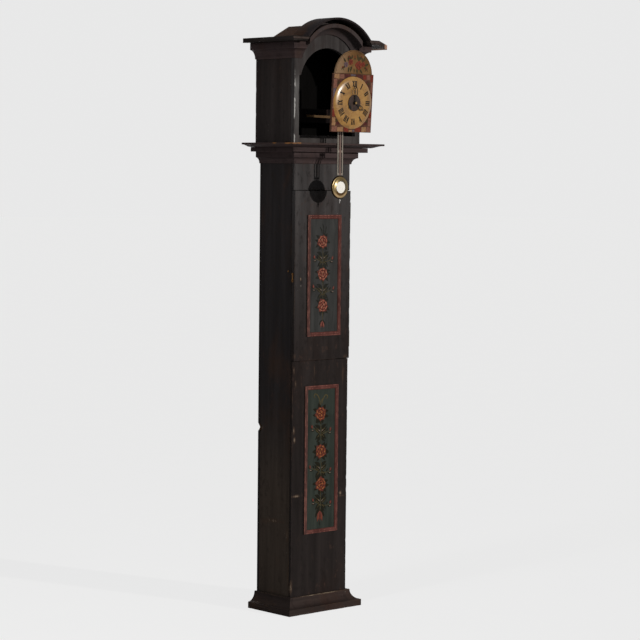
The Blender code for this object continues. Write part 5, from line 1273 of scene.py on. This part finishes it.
dial_paints = {
    "cream": oil_colour("dial_cream", (0.190, 0.095, 0.045), (0.300, 0.170, 0.088)),
    "pink": oil_colour("dial_pink", (0.125, 0.050, 0.036), (0.215, 0.100, 0.070)),
    "red": oil_colour("dial_red", (0.098, 0.016, 0.011), (0.172, 0.033, 0.020)),
    "wine": oil_colour("dial_wine", (0.040, 0.011, 0.010), (0.085, 0.024, 0.020)),
    "violet": oil_colour("dial_violet", (0.062, 0.044, 0.056), (0.120, 0.090, 0.105)),
    "leaf": oil_colour("dial_leaf", (0.022, 0.017, 0.008), (0.055, 0.042, 0.018)),
    "light": oil_colour("dial_light", (0.125, 0.032, 0.017), (0.195, 0.062, 0.032)),
    "line": oil_colour("dial_brown_line", (0.050, 0.024, 0.012), (0.095, 0.050, 0.026)),
}
dial_pots = {key: Strokes(on_dial) for key in dial_paints}
border = [
    ("cream", -0.097, -0.070, 0.086, 0.1025), ("pink", -0.069, -0.046, 0.086, 0.1020),
    ("wine", -0.045, -0.016, 0.091, 0.1025),
    ("violet", -0.014, 0.010, 0.0975, 0.1030), ("wine", 0.014, 0.044, 0.091, 0.1025),
    ("red", 0.046, 0.064, 0.086, 0.1020),
    ("pink", 0.065, 0.083, 0.086, 0.1025), ("red", 0.084, 0.098, 0.078, 0.1020),
    ("pink", -0.098, -0.081, 0.052, 0.0840), ("violet", -0.098, -0.083, 0.018, 0.0500),
    ("pink", -0.098, -0.087, -0.022, 0.0160),
    ("red", -0.098, -0.085, -0.052, -0.0250), ("cream", -0.098, -0.080, -0.084, -0.0540),
    ("pink", 0.087, 0.098, 0.040, 0.0760), ("wine", 0.088, 0.098, 0.006, 0.0380),
    ("wine", 0.088, 0.098, -0.030, 0.0040),
    ("red", 0.086, 0.098, -0.052, -0.0320), ("pink", 0.082, 0.098, -0.084, -0.0540),
    ("pink", -0.098, -0.072, -0.105, -0.0865), ("cream", -0.071, -0.040, -0.105, -0.0890),
    ("red", -0.038, -0.014, -0.105, -0.0900),
    ("cream", -0.012, 0.004, -0.105, -0.0985), ("violet", 0.005, 0.016, -0.105, -0.0985),
    ("red", 0.018, 0.0485, -0.105, -0.0890),
    ("cream", 0.050, 0.076, -0.105, -0.0870), ("pink", 0.077, 0.098, -0.105, -0.0865),
]
for key, left, right, low, high in border:
    block(dial_pots[key], left, right, low, high)
spandrel_out = 0.079
for side in (-1, 1):
    for low, high, inner, up in ((0.058, 0.080, 0.062, 1), (-0.080, -0.058, 0.060, -1)):
        block(dial_pots["wine"], *sorted((side * inner, side * spandrel_out)), low, high)
        for k in range(3):
            dial_pots["leaf"].petal(side * 0.070, up * 0.068, side * (0.2 + 0.7 * k), 0.014, 0.004, 0.0008)
dial_pots["line"].line([(-0.098, 0.1048), (-0.03, 0.1052), (0.03, 0.1050), (0.098, 0.1048)], 0.0024, 0.0003)
rim_start = arch_start + 0.05
dial_pots["line"].line(arc(dial_arch - 0.003, rim_start, math.pi - rim_start, 20, (0.0, arch_middle)), 0.0016,
                       0.0003)


def dial_rose(x, z, radius, spin, body_key, light_key):
    """A small open rose in three layers: broad petals, lighter curls and dark folds."""
    for i in range(7):
        turn = spin + 2 * math.pi * i / 7
        length = radius * (0.92 + 0.12 * math.sin(3 * i))
        dial_pots[body_key].petal(x, z, turn, length, radius * 0.78, 0.0010, 0.0004, blunt=1.4)
    for key, count, offset, reach, tilt, width, lift, swell in (
        (light_key, 5, 0.4, 0.30, 0.6, 0.22, 0.0015, 0.0003),
        ("wine", 3, 2.0, 0.16, 0.9, 0.14, 0.0018, 0.0002),
    ):
        for i in range(count):
            turn = spin + offset + 2 * math.pi * i / count
            dial_pots[key].petal(*spoke(x, z, turn, radius * reach), turn + tilt, radius * 0.5,
                                 radius * width,
                                 lift, swell, bend=-1.4)


for x, z, turn, length in (
    (0.0214, 0.152, -0.5, 0.026), (0.0214, 0.152, 0.35, 0.024), (-0.018, 0.156, -0.4, 0.020),
    (-0.016, 0.158, 0.5, 0.017),
    (0.044, 0.150, 0.6, 0.022), (0.040, 0.150, -0.1, 0.020), (-0.042, 0.146, -0.9, 0.022),
    (-0.043, 0.132, -2.2, 0.020),
    (0.052, 0.136, 1.4, 0.022), (0.050, 0.130, 2.1, 0.020), (0.012, 0.124, 2.7, 0.020),
    (-0.012, 0.132, -2.6, 0.024),
    (0.000, 0.124, 3.1, 0.016), (-0.030, 0.150, -0.1, 0.020), (0.028, 0.122, 2.3, 0.022),
    (-0.026, 0.130, 3.4, 0.022),
):
    dial_pots["leaf"].petal(x, z, turn, length, length * 0.36, 0.0005, bend=0.5 * math.sin(97 * x))
dial_rose(0.0214, 0.1371, 0.0185, 0.3, "red", "light")
dial_rose(-0.019, 0.1475, 0.0125, 1.1, "red", "light")
dial_rose(-0.0412, 0.1376, 0.0115, 0.7, "violet", "pink")
dial_rose(0.0442, 0.1410, 0.0105, 1.9, "red", "light")
for x, z in ((-0.058, 0.128), (0.062, 0.127), (0.002, 0.166), (-0.028, 0.165), (0.034, 0.168)):
    dial_pots["red"].dab(x, z, 0.0032, 0.0009)
    for turn in (2.6, -2.6):
        dial_pots["leaf"].petal(x, z - 0.002, turn, 0.012, 0.003, 0.0005)
for key, material in dial_paints.items():
    dial_pots[key].lay("dial_art_" + key, material, "case", "dial_paint")

# Chapter circle: a turned wooden dish, domed and lacquered a glossy ochre, planted on the dial.
# The hours are painted on it in black, set out like spokes with their feet to the middle.
chapter, crown, brim = 0.095, 0.0088, 0.0006


def dome(radius):
    """Height of the dish above the dial: all but level in the middle, rolling over to its rim."""
    return crown - (crown - brim) * (radius / chapter) ** 8


def turned(name, node, profile, frame_matrix, material, slot, body, steps=96):
    """A turned piece: radius and height pairs from the middle of its face out and round to its back."""
    points, faces = [], []
    count = len(profile)
    for i in range(steps):
        spin = 2 * math.pi * i / steps
        for radius, height in profile:
            points.append(frame_matrix @ Vector((radius * math.cos(spin), -height, radius * math.sin(spin))))
    for i in range(steps):
        j = (i + 1) % steps
        for k in range(count - 1):
            faces.append((i * count + k, j * count + k, j * count + k + 1, i * count + k + 1))
    piece = as_piece(name, points, faces, material, sharp=32.0)
    weld = piece.modifiers.new("joined", "WELD")
    weld.merge_threshold = 0.00001
    return place(piece, body, slot, node)


def ochre_lacquer():
    """Glossy ochre varnish paint, stained in clouds and browner on the right."""
    paint = Finish("ochre_lacquer", 0.38, specular=0.58)
    cloud = paint.grain(30.0, (1, 1, 1), 6.0, 0.6, 0.6)
    fine = paint.grain(300.0, (1, 1, 1), 3.0)
    across = paint.axes()["X"]
    tint = paint.ramp(cloud, (0.26, (0.160, 0.070, 0.006)), (0.50, (0.276, 0.130, 0.014)),
                      (0.76, (0.362, 0.190, 0.032)))
    stain = paint.step(paint.grain(14.0, (1, 1, 1), 4.0, 0.6), 0.54, 0.74)
    tint = paint.over(stain, tint, (0.140, 0.060, 0.008), 0.4)
    tint = paint.over(paint.step(across, 0.045, 0.100), tint, (0.120, 0.058, 0.012), 0.6)
    return paint.done(paint.over(paint.step(fine, 0.62, 0.74), tint, (0.090, 0.042, 0.008), 0.3),
                      (cloud, 0.25, 0.31), (cloud, 0.00010))


steps_out = [hole + (chapter - hole) * (1 - (1 - i / 36) ** 1.6) for i in range(37)]
dish = [(radius, dome(radius)) for radius in steps_out]
dish += [(chapter, gap), (hole, gap), (hole, dome(hole))]
turned("chapter_dish", "chapter_circle", dish, head_frame, ochre_lacquer(), "chapter_paint", "case")


def on_dish(x, z, out):
    """A place on the dish's domed face, out from it by a little."""
    return head_frame @ Vector((x, -dome(math.hypot(x, z)) - out, z))


numerals = Strokes(on_dish)
hours = ["XII", "I", "II", "III", "IIII", "V", "VI", "VII", "VIII", "IX", "X", "XI"]
stroke_width = {"I": 0.0066, "V": 0.0118, "X": 0.0118}
thick, thin, numeral_low, numeral_high = 0.0050, 0.0026, 0.0575, 0.0800


def numeral_stroke(angle, foot, head, width):
    """One straight stroke of a numeral, from its foot near the middle out to its head."""
    steps = 6
    spine = []
    for i in range(steps + 1):
        share = i / steps
        out = numeral_low + (numeral_high - numeral_low) * share
        off = foot + (head - foot) * share
        spine.append(spoke(*spoke(0.0, 0.0, angle, out), angle + math.pi / 2, off))
    widths = [width * (1.25 if i in (0, steps) else 0.95) for i in range(steps + 1)]
    numerals.stroke(spine, widths, 0.00015, 0.0002)


for hour, word in enumerate(hours):
    angle = 2 * math.pi * hour / 12
    squeeze = 0.80 if len(word) > 3 else 0.92 if len(word) == 3 else 1.0
    total = sum(stroke_width[c] for c in word) * squeeze
    start = -total / 2
    for letter in word:
        width = stroke_width[letter] * squeeze
        middle = start + width / 2
        start += width
        spread = width * 0.34
        if letter == "I":
            numeral_stroke(angle, middle, middle, thick * squeeze)
        elif letter == "V":
            numeral_stroke(angle, middle, middle - spread, thick * squeeze)
            numeral_stroke(angle, middle, middle + spread, thin)
        else:
            numeral_stroke(angle, middle + spread, middle - spread, thick * squeeze)
            numeral_stroke(angle, middle - spread, middle + spread, thin)
numerals.lay("hour_numerals",
             oil_colour("numeral_black", (0.006, 0.005, 0.005), (0.022, 0.018, 0.016), 90.0, 0.35),
             "case", "chapter_paint")

# Hands: an alarm disc, an hour hand and a minute hand on pipes one inside the other, cut from sheet
# iron and blackened, with a small brass nut in front.


def blackened(name, dark, light, roughness, bright=0.5, tip=None):
    """Iron gone dark brown and pitted, and quite black round its tip where that is given."""
    tip_reach, tip_core = 0.0115, 0.0085
    iron = Finish(name, roughness, metallic=bright, specular=0.1)
    cloud = iron.grain(85.0, (1, 1, 1), 5.0, 0.6)
    pit = iron.grain(420.0, (1, 1, 1), 3.0)
    rust = iron.step(iron.grain(45.0, (1, 1, 1), 4.0, 0.6), 0.58, 0.74)
    tint = iron.ramp(cloud, (0.3, dark), (0.7, light))
    tint = iron.over(rust, tint, (0.060, 0.030, 0.016), 0.6)
    if tip:
        tint = iron.over(iron.step(iron.distance(tip), tip_reach, tip_core), tint, (0.004, 0.003, 0.003))
    return iron.done(tint, (cloud, roughness + 0.1, roughness - 0.12), (pit, 0.00008))


black_iron = blackened("blackened_iron", (0.006, 0.005, 0.005), (0.018, 0.016, 0.015), 0.42, 0.2)
disc_tip = head_frame @ Vector((-0.0245, -0.0105, -0.0192))
finish_node("alarm_disc",
            blackened("browned_disc", (0.022, 0.0130, 0.0105), (0.056, 0.034, 0.028), 0.45, 0.0, disc_tip))
for node in ("hour_hand", "minute_hand"):
    finish_node(node, black_iron)
finish_node("hand_nut", old_brass)

# Movement: two beech plates held apart by pillars, standing on the plank's fork, with brass wheels
# on steel arbors between them, a steel anchor above and a brass cock behind for the pendulum.
beech = softwood("beech_plates", (9.0, 9.0, 0.8), (0.120, 0.066, 0.030), (0.230, 0.140, 0.070), 0.62)
for node in ("movement_front_plate", "movement_back_plate"):
    finish_node(node, beech)
wheel_brass = brass("wheel_brass", (0.42, 0.29, 0.12), (0.18, 0.11, 0.04), 0.36, 0.6)
for node in ("great_wheel", "centre_wheel", "third_wheel", "escape_wheel", "suspension_cock"):
    finish_node(node, wheel_brass)
steel = Finish("drawn_steel", 0.32, metallic=1.0)
drawn = steel.grain(60.0, (6, 6, 0.6), 5.0, 0.6)
steel.colour(steel.ramp(drawn, (0.3, (0.150, 0.140, 0.130)), (0.7, (0.340, 0.325, 0.310))))
steel.dull(drawn, 0.42, 0.26)
steel.relief(drawn, 0.00005)
finish_node("anchor", steel.material)

# Pendulum: a rod of three bars, bright brass outside and a brown wooden core, held by cross bars,
# with a brass lens of a bob on its stem, a white enamel disc let into it and a rating nut below.


def three_bars():
    """Brass on the outer bars and brown wood on the one between them."""
    core_half, bar_inner = 0.0062, 0.0066
    metal = Finish("pendulum_bars", 0.30)
    across = metal.axes()["X"]
    outside = metal.step(metal.size(across), core_half, bar_inner)
    cloud = metal.grain(40.0, (4, 4, 0.5), 5.0, 0.6)
    bright = metal.ramp(cloud, (0.3, (0.118, 0.102, 0.085)), (0.7, (0.225, 0.200, 0.168)))
    core = metal.ramp(cloud, (0.3, (0.060, 0.028, 0.018)), (0.7, (0.120, 0.062, 0.040)))
    metal.colour(metal.over(outside, core, bright))
    metal.put(metal.shader, Metallic=outside)
    metal.dull(cloud, 0.42, 0.28)
    metal.relief(cloud, 0.00008)
    return metal.material


finish_node("pendulum_rod", three_bars())
bob_place = Vector((0.0, -0.16875, 1.58199))
bob_radius, bob_half, bob_rim, enamel_radius, enamel_depth = 0.0425, 0.0055, 0.0020, 0.0215, 0.0022
seat_height = bob_half - enamel_depth / 2
lens = [(0.0, seat_height), (enamel_radius + gap, seat_height)]
lens += [(enamel_radius + out, seat_height + rise) for out, rise in (
    (0.0006, 0.0010), (0.0014, 0.0014), (0.0022, 0.0012), (0.0050, 0.0005), (0.0080, -0.0002),
    (0.0098, -0.0005),
    (0.0120, -0.0006), (0.0145, -0.0006),
)]
shoulder_radius, shoulder_height = lens[-1]
for i in range(1, 9):
    share = i / 8
    lens.append((shoulder_radius + (bob_radius - 0.0012 - shoulder_radius) * share,
                 bob_rim + (shoulder_height - bob_rim) * (1 - share**2)))
for i in range(9):
    bend = math.pi * i / 8
    lens.append((bob_radius - 0.0008 + 0.0012 * math.sin(bend), (bob_rim + 0.0004) * math.cos(bend)))
for i in range(16, -1, -1):
    share = i / 16
    lens.append(((bob_radius - 0.0012) * share, -bob_rim - (bob_half - bob_rim) * (1 - share**2)))
bob_frame = Matrix.Translation(bob_place)


def bob_brass():
    """Lacquered brass with painted reflections: a painted highlight on its right, dark close under the disc
    and bright further out below it, and painted black round the rim.
    """
    rim_in, rim_out = 0.0382, 0.0404
    metal = Finish("bob_brass", 0.30, metallic=1.0)
    cloud = metal.grain(55.0, (1, 1, 1), 6.0, 0.6)
    across, _, height = metal.axes()
    ring = metal.distance(bob_place)
    tint = metal.ramp(cloud, (0.25, (0.050, 0.033, 0.013)), (0.50, (0.098, 0.071, 0.033)),
                      (0.80, (0.145, 0.114, 0.064)))
    # Lighter on the right: painted highlight where the light falls.
    tint = metal.over(metal.step(across, 0.012, 0.030), tint, (0.140, 0.112, 0.064), 0.55)
    # Below the disc, dark near it and bright further out: painted reflections.
    low = metal.step(height, bob_place.z - 0.010, bob_place.z - 0.026)
    inner = metal.step(ring, 0.0320, 0.0295)
    tint = metal.over(metal.times(low, inner), tint, (0.090, 0.042, 0.014), 0.8)
    outer = metal.times(low, metal.step(ring, 0.0300, 0.0325))
    tint = metal.over(outer, tint, (0.310, 0.215, 0.112), 0.85)
    # Black round the rim: painted dark reflection in place of the rim's glint.
    return metal.done(metal.over(metal.step(ring, rim_in, rim_out), tint, (0.014, 0.008, 0.004)),
                      (cloud, 0.40, 0.24), (cloud, 0.00008))


turned("bob_lens", "pendulum_bob", lens, bob_frame, bob_brass(), "brass", "pendulum", 80)
glaze = Finish("white_enamel", 0.14, specular=0.6)
crackle = glaze.step(glaze.grain(230.0, (1, 1, 1), 3.0), 0.60, 0.70)
cloud = glaze.grain(40.0)
white = glaze.ramp(cloud, (0.3, (0.80, 0.765, 0.700)), (0.7, (0.89, 0.860, 0.800)))
glaze.colour(glaze.over(crackle, white, (0.42, 0.38, 0.32), 0.25))
glaze.dull(cloud, 0.10, 0.20)
glaze.relief(cloud, 0.0001)
disc_foot = seat_height + gap
disc = [(0.0, disc_foot + enamel_depth)]
disc += [(enamel_radius * i / 12, disc_foot + enamel_depth * (1 - 0.45 * (i / 12) ** 4))
         for i in range(1, 13)]
disc += [(enamel_radius, disc_foot), (0.0, disc_foot)]
turned("bob_enamel_disc", "bob_enamel", disc, bob_frame, glaze.material, "enamel", "pendulum", 64)
finish_node("rating_nut", steel.material)
